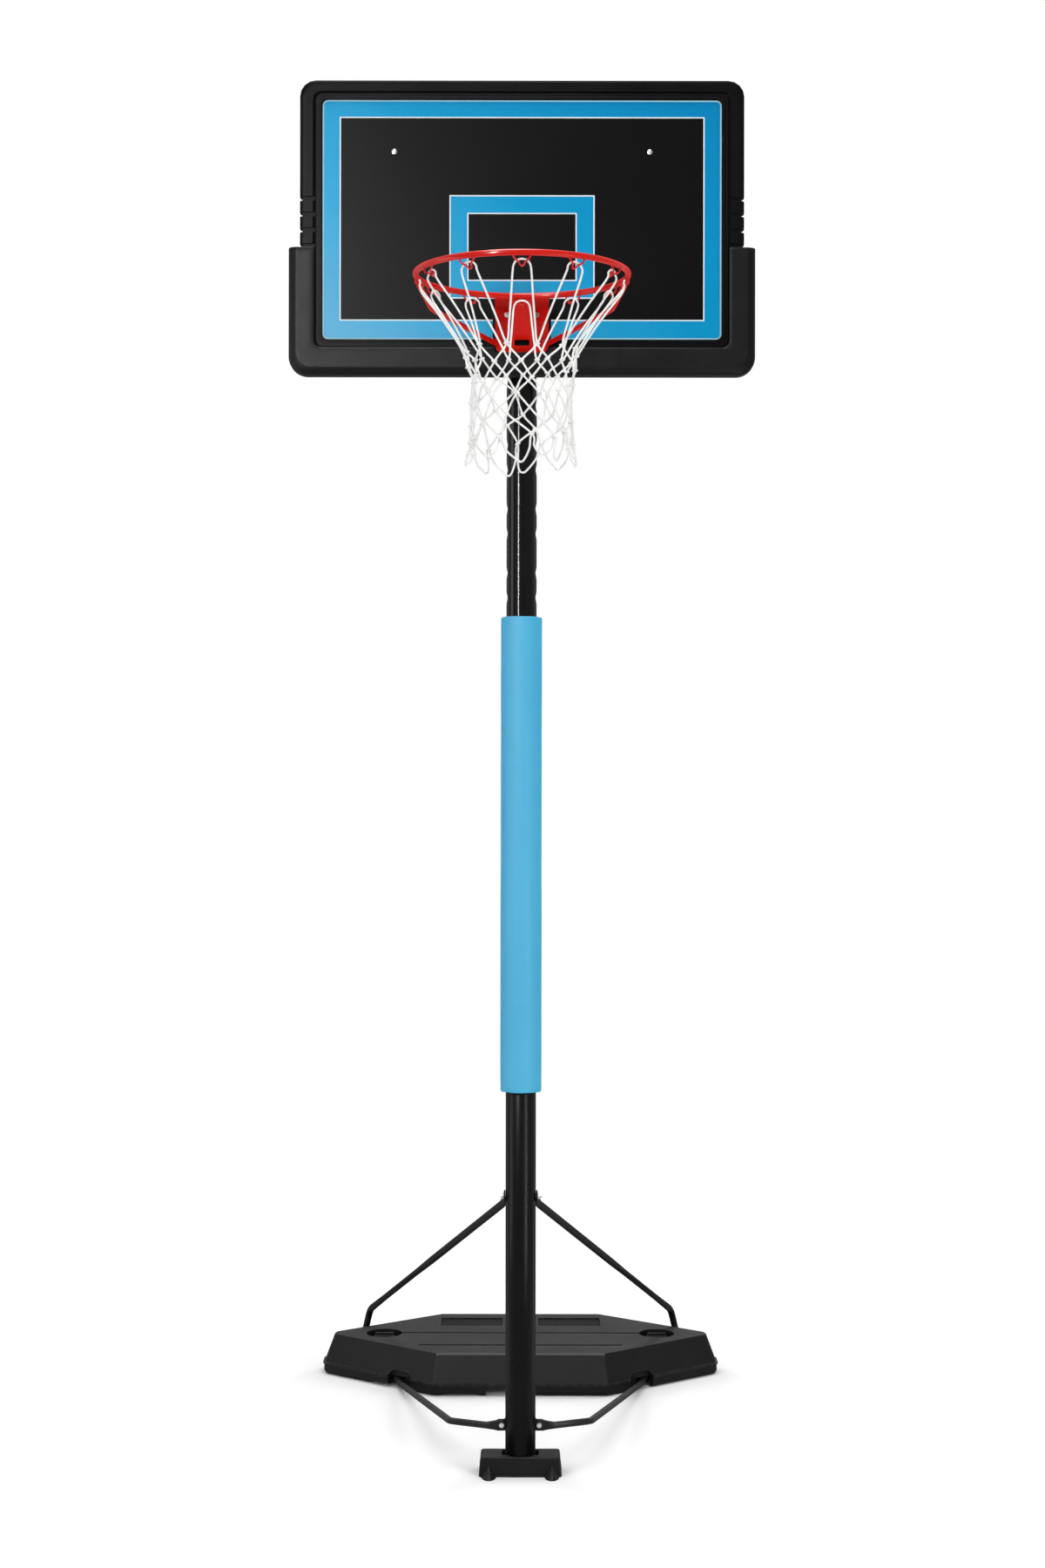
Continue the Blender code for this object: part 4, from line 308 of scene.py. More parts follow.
def buildSettledDust():
    # dust that lies on faces that look up
    tree, given, out = newGroup("settledDust", "Mask", {"Scale": 35.0, "Amount": 0.3})
    normal = partsOf(tree, addNode(tree, "NewGeometry").outputs["Normal"])
    up = rangeNode(tree, normal["Z"], 0.35, 0.95)
    cloud = rangeNode(tree, noiseNode(tree, objectPoint(tree), given["Scale"], 6.0, 0.65), 0.38, 0.72)
    tree.links.new(times(tree, times(tree, up, cloud), given["Amount"], clamp=True), out)
    return tree


def buildOrangePeel():
    # soft dimples of sprayed and baked paint
    tree, given, out = newGroup("orangePeel", "Height", {"Scale": 260.0})
    point = objectPoint(tree)
    soft = noiseNode(tree, point, given["Scale"], 1.0, 0.4)
    fine = noiseNode(tree, point, times(tree, given["Scale"], 5.0), 1.0, 0.4)
    tree.links.new(scaledSum(tree, fine, 0.25, soft), out)
    return tree


effects = {
    "grain": buildMouldedGrain(),
    "worn": buildWornEdges(),
    "smudges": buildSmudges(),
    "scratches": buildFineScratches(),
    "dust": buildSettledDust(),
    "peel": buildOrangePeel(),
}


# Materials

def placeEffect(tree, name, inputs):
    node = addNode(tree, "Group")
    node.node_tree = effects[name]
    return fillSockets(tree, node, inputs).outputs[0]


def newMaterial(name, inputs):
    material = bpy.data.materials.new(name)
    material.use_nodes = True
    tree = material.node_tree
    return material, tree, fillSockets(tree, tree.nodes["Principled BSDF"], inputs)


def smudgedBase(tree, look, scale, contrast=0.5):
    mask = placeEffect(tree, "smudges", {"Scale": scale, "Contrast": contrast})
    base = mixColour(tree, mask, look["dark"], look["light"])
    return base, rangeNode(tree, mask, 0.0, 1.0, *look["rough"])


def rubbedBase(tree, look, base):
    mask = placeEffect(tree, "worn", {"Radius": look["edge"], "Amount": look["wear"],
                                      "Breakup Scale": look.get("breakup", 60.0)})
    return mixColour(tree, mask, base, look["rubbed"])


def finishSurface(tree, shader, base, rough, glancing, height, relief):
    if glancing:
        # a grained skin scatters more at a glancing angle
        view = addNode(tree, "LayerWeight", {"Blend": 0.5})
        edge = rangeNode(tree, view.outputs["Facing"], 0.35, 0.85, 0.0, glancing, smooth=True)
        rough = mathNode(tree, "ADD", rough, edge, clamp=True)
    bump = addNode(tree, "Bump", {"Height": height, "Distance": relief, "Strength": 1.0})
    fillSockets(tree, shader, {"Base Color": base, "Roughness": rough, "Normal": bump.outputs["Normal"]})


def insideBox(tree, x, z, half, centreZ):
    # 1 inside a box round x = 0, given as half width and half height
    wide = mathNode(tree, "LESS_THAN", absolute(tree, x), half[0])
    return times(tree, wide, mathNode(tree, "LESS_THAN", absolute(tree, minus(tree, z, centreZ)), half[1]))


deckShadeAndHighlights = {                        # level boxes on the deck: half width, half depth, middle depth
    "above": 0.100,
    "grooves": ((0.330, 0.0090, 0.9500), (0.278, 0.0090, 0.8100)), "grooveCore": 0.0035,
    "lips": ((0.330, 0.0040, 0.9370), (0.278, 0.0040, 0.7970)), "edge": (0.2260, 0.0045, 0.7150),
    "recessMiddle": 0.138, "recess": (0.0875, 0.0480, 1.0820), "recessLip": (0.0900, 0.0030, 1.0300),
    # tints: painted shade in the grooves, a darker floor in the recesses, painted highlights on the lips and
    # the front edge
    "grooveShadeTint": (0.0008, 0.0008, 0.0008), "recessTint": (0.0034, 0.0034, 0.0035),
    "lipHighlightTint": (0.024, 0.024, 0.024), "edgeHighlightTint": (0.070, 0.070, 0.070),
    "recessRough": 0.24, "grooveRough": 0.55,
}


def placeDeckShadeAndHighlights(tree, base, rough):
    # painted shade darkens the grooves, the floors of the recesses are darker and rougher, and painted
    # highlights lighten the front lips and the deck's front edge
    look = deckShadeAndHighlights
    point = partsOf(tree, objectPoint(tree))
    x, y = point["X"], point["Y"]
    high = mathNode(tree, "GREATER_THAN", point["Z"], look["above"])
    aside = minus(tree, absolute(tree, x), look["recessMiddle"])

    def level(across, size):
        return times(tree, insideBox(tree, across, y, size[:2], size[2]), high)

    recess = level(aside, look["recess"])
    grooves = []
    for size in look["grooves"]:
        off = absolute(tree, minus(tree, y, size[2]))
        soft = rangeNode(tree, off, look["grooveCore"], size[1], 1.0, 0.0, smooth=True)
        grooves.append(times(tree, level(x, size), soft))
    groove = largest(tree, *grooves)
    lip = largest(tree, *(level(x, size) for size in look["lips"]), level(aside, look["recessLip"]))
    for mask, tint in ((recess, "recessTint"), (groove, "grooveShadeTint"), (lip, "lipHighlightTint"),
                       (level(x, look["edge"]), "edgeHighlightTint")):
        base = mixColour(tree, mask, base, look[tint])
    rough = scaledSum(tree, recess, look["recessRough"], rough)
    return base, scaledSum(tree, groove, look["grooveRough"], rough, clamp=True)


dustTint = (0.20, 0.195, 0.185)


def mouldedPlastic(name, look):
    material, tree, shader = newMaterial(name, {"Specular IOR Level": look["shine"]})
    base, rough = smudgedBase(tree, look, 7.0, 0.55)
    base = rubbedBase(tree, look, base)
    base = mixColour(tree, placeEffect(tree, "dust", {"Amount": look["dust"]}), base, dustTint)
    if look.get("deck"):
        base, rough = placeDeckShadeAndHighlights(tree, base, rough)
    grain = placeEffect(tree, "grain", {"Grain Scale": look["grain"], "Ripple Scale": look["ripple"]})
    finishSurface(tree, shader, base, rough, look["glancing"], grain, look["relief"])
    return material


def paintedSteel(name, look):
    material, tree, shader = newMaterial(name, {"Specular IOR Level": look["shine"]})
    base, rough = smudgedBase(tree, look, 11.0)
    rough = scaledSum(tree, placeEffect(tree, "scratches", {"Amount": look["scratch"]}), 0.15, rough)
    peel = placeEffect(tree, "peel", {"Scale": look["peel"]})
    finishSurface(tree, shader, rubbedBase(tree, look, base), rough, look["glancing"], peel, look["relief"])
    return material


def zincPlated(name, look):
    material, tree, shader = newMaterial(name, {"Metallic": 1.0})
    base, rough = smudgedBase(tree, look, 160.0, 0.45)
    scratch = placeEffect(tree, "scratches", {"Scale": 1.6, "Amount": 0.6})
    finishSurface(tree, shader, rubbedBase(tree, look, base), scaledSum(tree, scratch, 0.2, rough), 0.0,
                  scratch, look["relief"])
    return material


def fromRoundedBox(tree, x, z, half, centreZ, radius):
    # distance outwards from a rounded box, exact near its edge
    wide = minus(tree, absolute(tree, x), half[0] - radius)
    tall = minus(tree, absolute(tree, minus(tree, z, centreZ)), half[1] - radius)
    wide, tall = largest(tree, wide, 0.0), largest(tree, tall, 0.0)
    square = scaledSum(tree, wide, wide, times(tree, tall, tall))
    return minus(tree, mathNode(tree, "SQRT", square), radius)


def printedSheet(name, look):
    # a screen print: a blue border and target with white lines, on black, with painted sheen lightening the
    # blue towards the lower left and a painted highlight round the edge
    material, tree, shader = newMaterial(name, {"Specular IOR Level": look["shine"]})
    point = partsOf(tree, objectPoint(tree))
    x, z = point["X"], point["Z"]

    def box(size, centre, grow=0.0):
        return insideBox(tree, x, z, (size[0] + grow, size[1] + grow), centre)

    middle, target, line = look["middle"], look["targetCentre"], look["line"]
    smudge = placeEffect(tree, "smudges", {"Scale": 2.2, "Contrast": 0.5})
    # painted sheen: the blue lightens towards the lower left
    across, upwards = look["fade"]
    sheenShare = scaledSum(tree, x, across, scaledSum(tree, z, upwards, -upwards * middle))
    sheenShare = rangeNode(tree, scaledSum(tree, smudge, 0.08, sheenShare), *look["sheenRange"])
    ramp = addNode(tree, "ValToRGB", {"Fac": sheenShare})
    stops = ramp.color_ramp.elements
    for number, (place, tint) in enumerate(look["blues"]):
        stop = stops[number] if number < 2 else stops.new(place)
        stop.position = place
        stop.color = (*tint, 1)
    colour = blue = ramp.outputs["Color"]
    beyond = fromRoundedBox(tree, x, z, look["edgeHalf"], look["edgeCentre"], look["edgeRound"])
    low = mathNode(tree, "LESS_THAN", z, look["bracketTop"])
    near = mathNode(tree, "LESS_THAN", absolute(tree, x), look["bracketHalf"])
    # a painted highlight just inside the edge, black at the very edge, then the print
    for mask, tint in ((mathNode(tree, "GREATER_THAN", beyond, look["edgeIn"]), look["panelEdgeHighlight"]),
                       (mathNode(tree, "GREATER_THAN", beyond, look["edgeOut"]), look["black"]),
                       (box(look["border"], middle, line), look["white"]),
                       (box(look["border"], middle), look["black"]),
                       (box(look["targetOuter"], target, line), look["white"]),
                       (box(look["targetOuter"], target), blue),
                       (box(look["targetInner"], target, line), look["white"]),
                       (box(look["targetInner"], target), look["black"]),
                       (times(tree, low, near), look["black"])):
        colour = mixColour(tree, mask, colour, tint)
    fine = placeEffect(tree, "grain", {"Grain Scale": 700.0, "Ripple Scale": 5.0, "Ripple Share": 2.5})
    scratch = placeEffect(tree, "scratches", {"Amount": 0.35})
    rough = scaledSum(tree, scratch, 0.1, rangeNode(tree, smudge, 0.0, 1.0, *look["rough"]))
    finishSurface(tree, shader, colour, rough, look["glancing"], fine, look["relief"])
    return material


def foamSkin(name, look):
    # closed-cell foam with a thin skin: fine pores and slow dents
    material, tree, shader = newMaterial(name, {"Specular IOR Level": look["shine"],
                                                "Sheen Weight": look["sheen"]})
    point = objectPoint(tree)
    pores = addNode(tree, "TexVoronoi", {"Vector": point, "Scale": look["pores"]})
    pit = rangeNode(tree, pores.outputs["Distance"], 0.0, 0.45)
    base, rough = smudgedBase(tree, look, look["patch"])
    slow = noiseNode(tree, point, look["dents"])
    finishSurface(tree, shader, mixColour(tree, pit, look["pit"], base), rough, 0.5,
                  scaledSum(tree, slow, look["dentShare"], pit), look["relief"])
    return material


def twistedCord(name, look):
    # the lay of the cord is in the mesh, its fibres are here
    material, tree, shader = newMaterial(name, {
        "Specular IOR Level": 0.3, "Sheen Weight": 0.25, "Sheen Roughness": 0.4,
        "Subsurface Weight": 0.08, "Subsurface Scale": 0.004})
    fibre = noiseNode(tree, objectPoint(tree), look["fibre"], 3.0, 0.7)
    patch = placeEffect(tree, "smudges", {"Scale": 30.0, "Contrast": 0.5})
    base = mixColour(tree, patch, look["dark"], look["light"])
    base = mixColour(tree, rangeNode(tree, fibre, 0.25, 0.6), look["gaps"], base)
    rough = rangeNode(tree, fibre, 0.3, 0.7, *look["rough"])
    finishSurface(tree, shader, base, rough, 0.0, fibre, look["relief"])
    return material


plasticLooks = {
    "tankPlastic": {
        # the rubbed edge colour is partly wear and partly a painted highlight along the edges
        "dark": (0.0050, 0.0050, 0.0052), "light": (0.0080, 0.0080, 0.0083), "rubbed": (0.060, 0.060, 0.060),
        "grain": 620.0, "ripple": 9.0, "edge": 0.0045, "wear": 0.8, "dust": 0.03, "shine": 0.10,
        "deck": True, "rough": (0.38, 0.48), "glancing": 0.26, "relief": 0.0005},
    "boardPlastic": {
        "dark": (0.0012, 0.0012, 0.0013), "light": (0.0024, 0.0024, 0.0025), "rubbed": (0.016, 0.016, 0.016),
        "grain": 800.0, "ripple": 12.0, "edge": 0.003, "wear": 0.40, "dust": 0.015, "shine": 0.04,
        "rough": (0.36, 0.46), "glancing": 0.5, "relief": 0.0004},
    "smallPlastic": {
        "dark": (0.0050, 0.0050, 0.0053), "light": (0.0075, 0.0075, 0.0079), "rubbed": (0.035, 0.035, 0.035),
        "grain": 1200.0, "ripple": 25.0, "edge": 0.0015, "wear": 0.5, "dust": 0.04, "shine": 0.10,
        "rough": (0.36, 0.48), "glancing": 0.4, "relief": 0.0002},
    "wheelPlastic": {
        "dark": (0.030, 0.031, 0.032), "light": (0.045, 0.046, 0.048), "rubbed": (0.10, 0.10, 0.10),
        "grain": 1100.0, "ripple": 30.0, "edge": 0.002, "wear": 0.6, "dust": 0.12, "shine": 0.2,
        "rough": (0.45, 0.58), "glancing": 0.3, "relief": 0.0003},
}
paintLooks = {
    "powderBlack": {
        "dark": (0.0024, 0.0024, 0.0025), "light": (0.0036, 0.0036, 0.0038), "rubbed": (0.025, 0.025, 0.027),
        "peel": 420.0, "edge": 0.0015, "wear": 0.30, "scratch": 0.4, "shine": 0.07,
        "rough": (0.25, 0.32), "glancing": 0.5, "relief": 0.00010},
    # a lighter copy of the black powder paint, lightened as painted light, for the lower struts and their
    # bracket
    "litStrutPaint": {
        "dark": (0.0090, 0.0090, 0.0094), "light": (0.0135, 0.0135, 0.0140), "rubbed": (0.045, 0.045, 0.048),
        "peel": 420.0, "edge": 0.0015, "wear": 0.35, "scratch": 0.5, "shine": 0.12,
        "rough": (0.28, 0.36), "glancing": 0.4, "relief": 0.00010},
    "glossBlack": {
        "dark": (0.0020, 0.0020, 0.0021), "light": (0.0030, 0.0030, 0.0032), "rubbed": (0.020, 0.020, 0.022),
        "peel": 240.0, "edge": 0.0015, "wear": 0.25, "scratch": 0.5, "shine": 0.10,
        "rough": (0.10, 0.13), "glancing": 0.70, "relief": 0.00008},
    "rimRed": {
        "dark": (0.56, 0.006, 0.003), "light": (0.64, 0.011, 0.005), "rubbed": (0.68, 0.06, 0.03),
        "peel": 300.0, "edge": 0.0012, "wear": 0.4, "scratch": 0.4, "shine": 0.14,
        "rough": (0.13, 0.19), "glancing": 0.3, "relief": 0.00010},
}
zincLooks = {"zincPlate": {
    "dark": (0.36, 0.365, 0.37), "light": (0.58, 0.575, 0.56), "rubbed": (0.55, 0.55, 0.53),
    "edge": 0.0008, "wear": 1.0, "breakup": 400.0, "rough": (0.22, 0.38), "relief": 0.00003,
}}
panelLooks = {"printedPanel": {
    "middle": 2.9695,
    "border": (0.4255, 0.2365),      # half width and half height inside the blue border
    "line": 0.0028,
    "targetCentre": 2.9038, "targetOuter": (0.1676, 0.1186), "targetInner": (0.1257, 0.0771),
    "bracketHalf": 0.0685,           # black margin of the print round the rim bracket
    "bracketTop": 2.775,
    # the print's blue, with its lighter stops used as painted sheen
    "blues": ((0.0, (0.001, 0.205, 0.450)), (0.45, (0.002, 0.290, 0.560)), (0.74, (0.030, 0.375, 0.665)),
              (1.0, (0.130, 0.470, 0.745))),
    "fade": (-0.9, -1.1),            # painted sheen: how the blue changes, across and upwards, lightening towards the lower left
    "sheenRange": (-0.69, 0.79),
    # a light blue band just inside the edge is a painted highlight, with black at the very edge
    "panelEdgeHighlight": (0.34, 0.66, 0.82), "edgeCentre": 2.9673, "edgeHalf": (0.469, 0.281), "edgeRound": 0.0135,
    "edgeIn": -0.0040, "edgeOut": -0.0004,
    "black": (0.0012, 0.0012, 0.0014), "white": (0.80, 0.84, 0.87),
    "shine": 0.045, "rough": (0.36, 0.44), "glancing": 0.4, "relief": 0.00012,
}}
foamLooks = {
    "blueFoam": {
        "dark": (0.055, 0.405, 0.665), "light": (0.072, 0.450, 0.715), "pit": (0.042, 0.360, 0.610),
        "pores": 900.0, "patch": 6.0, "dents": 22.0, "dentShare": 3.0, "relief": 0.00025,
        "rough": (0.48, 0.58), "shine": 0.24, "sheen": 0.0},
    "blueTape": {
        "dark": (0.045, 0.250, 0.520), "light": (0.060, 0.300, 0.580), "pit": (0.030, 0.190, 0.420),
        "pores": 1100.0, "patch": 20.0, "dents": 120.0, "dentShare": 1.0, "relief": 0.0004,
        "rough": (0.75, 0.88), "shine": 0.15, "sheen": 0.3},
    "guardFoam": {
        "dark": (0.0026, 0.0026, 0.0028), "light": (0.0042, 0.0042, 0.0044), "pit": (0.002, 0.002, 0.002),
        "pores": 1000.0, "patch": 8.0, "dents": 16.0, "dentShare": 4.0, "relief": 0.0002,
        "rough": (0.34, 0.44), "shine": 0.08, "sheen": 0.0},
}
cordLooks = {"cordFibre": {
    "dark": (0.87, 0.87, 0.86), "light": (0.95, 0.95, 0.94), "gaps": (0.79, 0.79, 0.77),
    "rough": (0.62, 0.8), "fibre": 1500.0, "relief": 0.0004,
}}
materials = {}
for buildMaterial, looks in ((mouldedPlastic, plasticLooks), (paintedSteel, paintLooks),
                             (zincPlated, zincLooks), (printedSheet, panelLooks),
                             (foamSkin, foamLooks), (twistedCord, cordLooks)):
    for name, look in looks.items():
        materials[name] = buildMaterial(name, look)
print(len(materials), "materials are ready")


# Mesh helpers

def fullTurn(count):
    return [2 * math.pi * k / count for k in range(count)]


def turned(side, up, angle):
    return side * math.cos(angle) + up * math.sin(angle)


def spoke(angle):
    return Vector((math.cos(angle), math.sin(angle), 0))


def everyStep(place, end, step):
    places = []
    while place < end:
        places.append(place)
        place += step
    return places


def joinLofts(lofts, closedAlong=False):
    # skins between rings of equal length, with end caps on those that aren't closed along
    verts, faces = [], []
    for rings in lofts:
        start, count, last = len(verts), len(rings[0]), len(rings) - 1
        for ring in rings:
            verts.extend(ring)
        for row in range(last + 1 if closedAlong else last):
            low, high = start + row * count, start + (row + 1) % len(rings) * count
            for k in range(count):
                j = (k + 1) % count
                faces.append((low + k, low + j, high + j, high + k))
        if not closedAlong:
            faces.append(tuple(range(start + count - 1, start - 1, -1)))
            faces.append(tuple(range(start + last * count, start + (last + 1) * count)))
    return verts, faces


def addPiece(name, shape, material, body, replaced=(), sharp=40):
    # a finished mesh that rides on a body, in place of the CAD nodes it replaces
    mesh = bpy.data.meshes.new(name)
    mesh.from_pydata([tuple(v) for v in shape[0]], [], shape[1])
    skin = bmesh.new()
    skin.from_mesh(mesh)
    bmesh.ops.recalc_face_normals(skin, faces=skin.faces)
    limit = math.radians(sharp)
    for edge in skin.edges:
        if len(edge.link_faces) == 2 and edge.calc_face_angle(0) > limit:
            edge.smooth = False
    for face in skin.faces:
        face.smooth = True
    skin.to_mesh(mesh)
    skin.free()
    piece = addToScene(name, mesh)
    mesh.materials.append(materials[material])
    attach(piece, body)
    if replaced:
        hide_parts(*replaced)
    return piece


def softenEdges(piece, width, segments, sharp):
    bevel = piece.modifiers.new("roundEdges", "BEVEL")
    bevel.width = width
    bevel.segments = segments
    bevel.limit_method = "ANGLE"
    bevel.angle_limit = math.radians(sharp)


def tubeRings(points, radius, sides, closed=False, lobes=0, depth=0.0, pitch=0.02):
    # rings along a route, with a frame carried from point to point. Lobes twist once a pitch
    count = len(points)
    points = [Vector(p) for p in points]
    tangents = []
    for i in range(count):
        ahead = points[(i + 1) % count] if closed or i < count - 1 else points[i]
        behind = points[i - 1] if closed or i > 0 else points[i]
        tangents.append((ahead - behind).normalized())
    side = tangents[0].orthogonal().normalized()
    frames = []
    for i in range(count):
        if i:
            side = tangents[i - 1].rotation_difference(tangents[i]) @ side
        side = (side - tangents[i] * side.dot(tangents[i])).normalized()
        frames.append(side.copy())
    drift = 0.0
    if closed:
        last = tangents[-1].rotation_difference(tangents[0]) @ frames[-1]
        drift = math.atan2(last.cross(frames[0]).dot(tangents[0]), last.dot(frames[0]))
    length = [0.0]
    for i in range(1, count):
        length.append(length[-1] + (points[i] - points[i - 1]).length)
    whole = length[-1] + ((points[0] - points[-1]).length if closed else 0.0)
    turns = round(whole / pitch) if closed else whole / pitch
    rings = []
    for i in range(count):
        up = tangents[i].cross(frames[i])
        phase = 2 * math.pi * turns * length[i] / whole
        unwind = drift * i / count
        size = radius[i] if isinstance(radius, list) else radius
        ring = []
        for angle in fullTurn(sides):
            reach = size * (1 + depth * math.cos(lobes * (angle - phase))) if lobes else size
            ring.append(points[i] + turned(frames[i], up, angle + unwind) * reach)
        rings.append(ring)
    return rings


def softRoute(points, steps, closed=False):
    # a smooth route through the points
    points = [Vector(p) for p in points]
    count = len(points)
    route = []
    for i in range(count if closed else count - 1):
        a, b, c, d = (points[(i + k) % count if closed else max(0, min(count - 1, i + k))]
                      for k in (-1, 0, 1, 2))
        for s in range(steps):
            t = s / steps
            route.append(0.5 * ((2 * b) + (c - a) * t + (2 * a - 5 * b + 4 * c - d) * t * t
                                + (3 * b - a - 3 * c + d) * t ** 3))
    if not closed:
        route.append(points[-1].copy())
    return route


def lathe(profile, centre, axis, sides):
    # rings of a turned shape, from pairs of distance along the axis and radius
    axis = Vector(axis).normalized()
    side = axis.orthogonal().normalized()
    up = axis.cross(side)
    return [[centre + axis * along + turned(side, up, angle) * radius for angle in fullTurn(sides)]
            for along, radius in profile]


def roundedPath(half, centreZ, radius, steps):
    path = []
    for corner, (signX, signZ) in enumerate(((1, 1), (-1, 1), (-1, -1), (1, -1))):
        for i in range(steps + 1):
            turn = math.radians(90 * corner + 90 * i / steps)
            path.append((signX * (half[0] - radius) + radius * math.cos(turn),
                         centreZ + signZ * (half[1] - radius) + radius * math.sin(turn)))
    return path


# Poles

poleLook = {
    "sides": 64, "edge": 0.0006, "ringGap": 0.00425,
    "dimpleDepth": 0.0027, "dimpleHalf": 0.017, "dimplePair": 0.0293,
    "firstStop": 2.116, "pitch": 0.1524, "stops": range(-3, 4),
    "tubes": (                       # piece, node, body, material, slot, wall
        ("lowerPoleTube", "lower_pole", "stand", "powderBlack", "powder_black", 0.0018),
        ("middlePoleTube", "middle_pole", "stand", "powderBlack", "powder_black", 0.0013),
        ("upperPoleTube", "upper_pole", "mast", "glossBlack", "gloss_black", 0.0046)),
}


def pressedIn(height):
    deepest = 0.0
    for stop in poleLook["stops"]:
        for end in (-1, 1):
            centre = poleLook["firstStop"] + poleLook["pitch"] * stop + end * poleLook["dimplePair"]
            away = abs(height - centre) / poleLook["dimpleHalf"]
            if away < 1:
                deepest = max(deepest, poleLook["dimpleDepth"] * (0.5 + 0.5 * math.cos(math.pi * away)))
    return deepest


def tubeWall(low, high, radius, wall, heights, dimpled):
    # a tube with a bore and eased ends, as rings up the outside and down the inside
    edge, bore = poleLook["edge"], radius - wall
    outside = [(low, radius - edge), (low + edge, radius)]
    outside += [(z, radius) for z in heights if low + edge < z < high - edge]
    outside += [(high - edge, radius), (high, radius - edge)]
    inside = [(high, bore + edge), (high - edge, bore), (low + edge, bore), (low, bore + edge)]
    rings = []
    for index, (z, reach) in enumerate(outside + inside):
        flat = radius - pressedIn(z) if dimpled and index < len(outside) else reach
        rings.append([(max(-flat, min(flat, reach * math.cos(angle))), reach * math.sin(angle), z)
                      for angle in fullTurn(poleLook["sides"])])
    return rings


def buildPoles():
    for name, node, body, material, slot, wall in poleLook["tubes"]:
        low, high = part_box(node)
        dimpled = node == "upper_pole"
        heights = everyStep(low.z, high.z, poleLook["ringGap"]) if dimpled else []
        rings = tubeWall(low.z, high.z, high.x, wall, heights, dimpled)
        addPiece(name, joinLofts([rings], True), material, body, (node,), sharp=50)


buildPoles()
print("poles are built")


# Fasteners

boltLook = {
    "washer": 1.08, "washerThick": 0.16, "washerSides": 24, "tall": 1.75, "tail": 0.003,
    "shank": 0.97, "shankSides": 16,
    "hexSteps": ((0.0, 0.90), (0.1, 1.0), (0.80, 1.0), (0.93, 0.93), (1.0, 0.84)),        # rise, cut
    "domeSteps": ((0.55, 0.0), (0.86, 0.0), (0.90, 0.22), (0.88, 0.42), (0.80, 0.66), (0.68, 0.84),
                  (0.54, 0.94), (0.52, 0.95), (0.40, 0.98), (0.28, 1.0), (0.16, 1.0), (0.05, 1.0)),
    "domeSides": 40, "crossFrom": 0.53, "crossHalf": 0.13, "crossDeep": 0.42,
    "bolts": (                       # piece, node, body, world axis, shank radius, head over shank
        ("strutBolt", "upper_strut_bolt", "stand", 0, 0.004, 1.9),
        ("poleJointBolt", "pole_joint_bolt", "stand", 0, 0.003, 1.9),
        ("crossBarBolt", "cross_bar_bolt", "mast", 0, 0.004, 1.9),
        ("poleBracketBolt", "pole_bracket_bolt", "mast", 0, 0.004, 1.9),
        ("rimBoltUpperLeft", "upper_left_rim_bolt", "mast", 1, 0.004, 1.5),
        ("rimBoltUpperRight", "upper_right_rim_bolt", "mast", 1, 0.004, 1.5),
        ("rimBoltLowerLeft", "lower_left_rim_bolt", "mast", 1, 0.004, 1.5),
        ("rimBoltLowerRight", "lower_right_rim_bolt", "mast", 1, 0.004, 1.5),
        ("boardBoltLeft", "left_board_bolt", "mast", 1, 0.003, 1.9),
        ("boardBoltRight", "right_board_bolt", "mast", 1, 0.003, 1.9),
        ("strapBoltLeft", "left_lower_strut_bolt", "stand", 1, 0.003, 1.9),
        ("strapBoltRight", "right_lower_strut_bolt", "stand", 1, 0.003, 1.9)),
}


def hexRing(centre, axis, side, radius, cut):
    # twelve points: the hexagon's corners, cut back by the chamfer
    up = axis.cross(side)
    points = []
    for k in range(12):
        angle = math.radians(30 * k)
        reach = min(radius if k % 2 == 0 else radius * math.cos(math.radians(30)), radius * cut)
        points.append(centre + turned(side, up, angle) * reach)
    return points


def boltHead(start, axis, side, radius, tall):
    # a washer, and a chamfered hexagon on it
    washer, plain = tall * boltLook["washerThick"], radius * boltLook["washer"]
    disc = lathe([(0, radius * 0.5), (0, plain * 0.985), (washer * 0.2, plain), (washer * 0.8, plain),
                  (washer, plain * 0.985), (washer, radius * 0.5)], start, axis, boltLook["washerSides"])
    base = start + axis * washer * 1.02
    return [disc, [hexRing(base + axis * (tall - washer) * rise, axis, side, radius, cut)
                   for rise, cut in boltLook["hexSteps"]]]


def roundHead(start, axis, radius, tall):
    # a washer, and a dome with a cross recess on it
    side = axis.orthogonal().normalized()
    up = axis.cross(side)
    washer = tall * boltLook["washerThick"]
    disc = lathe([(0, radius * 0.5), (0, radius), (washer * 0.3, radius * 1.03),
                  (washer * 0.8, radius * 1.03), (washer, radius * 0.98), (washer, radius * 0.5)],
                 start, axis, 32)
    rings = []
    for share, rise in boltLook["domeSteps"]:
        ring = []
        for angle in fullTurn(boltLook["domeSides"]):
            reach = radius * share
            arm = min(abs(reach * math.sin(angle)), abs(reach * math.cos(angle)))
            sunk = share < boltLook["crossFrom"] and arm < radius * boltLook["crossHalf"]
            height = washer + (tall - washer) * (rise - (boltLook["crossDeep"] if sunk else 0.0))
            ring.append(start + axis * height + turned(side, up, angle) * reach)
        rings.append(ring)
    return [disc, rings]


def threadEnd(start, axis, radius, length):
    pitch = radius * 0.34
    turns = max(2, int(length / pitch))
    profile = [(0, radius * 0.88)]
    for i in range(turns):
        base = i * pitch
        profile += [(base + pitch * 0.3, radius * 0.98), (base + pitch * 0.7, radius * 0.98),
                    (base + pitch, radius * 0.86)]
    profile.append((turns * pitch + radius * 0.15, radius * 0.74))
    return lathe(profile, start, axis, boltLook["shankSides"])


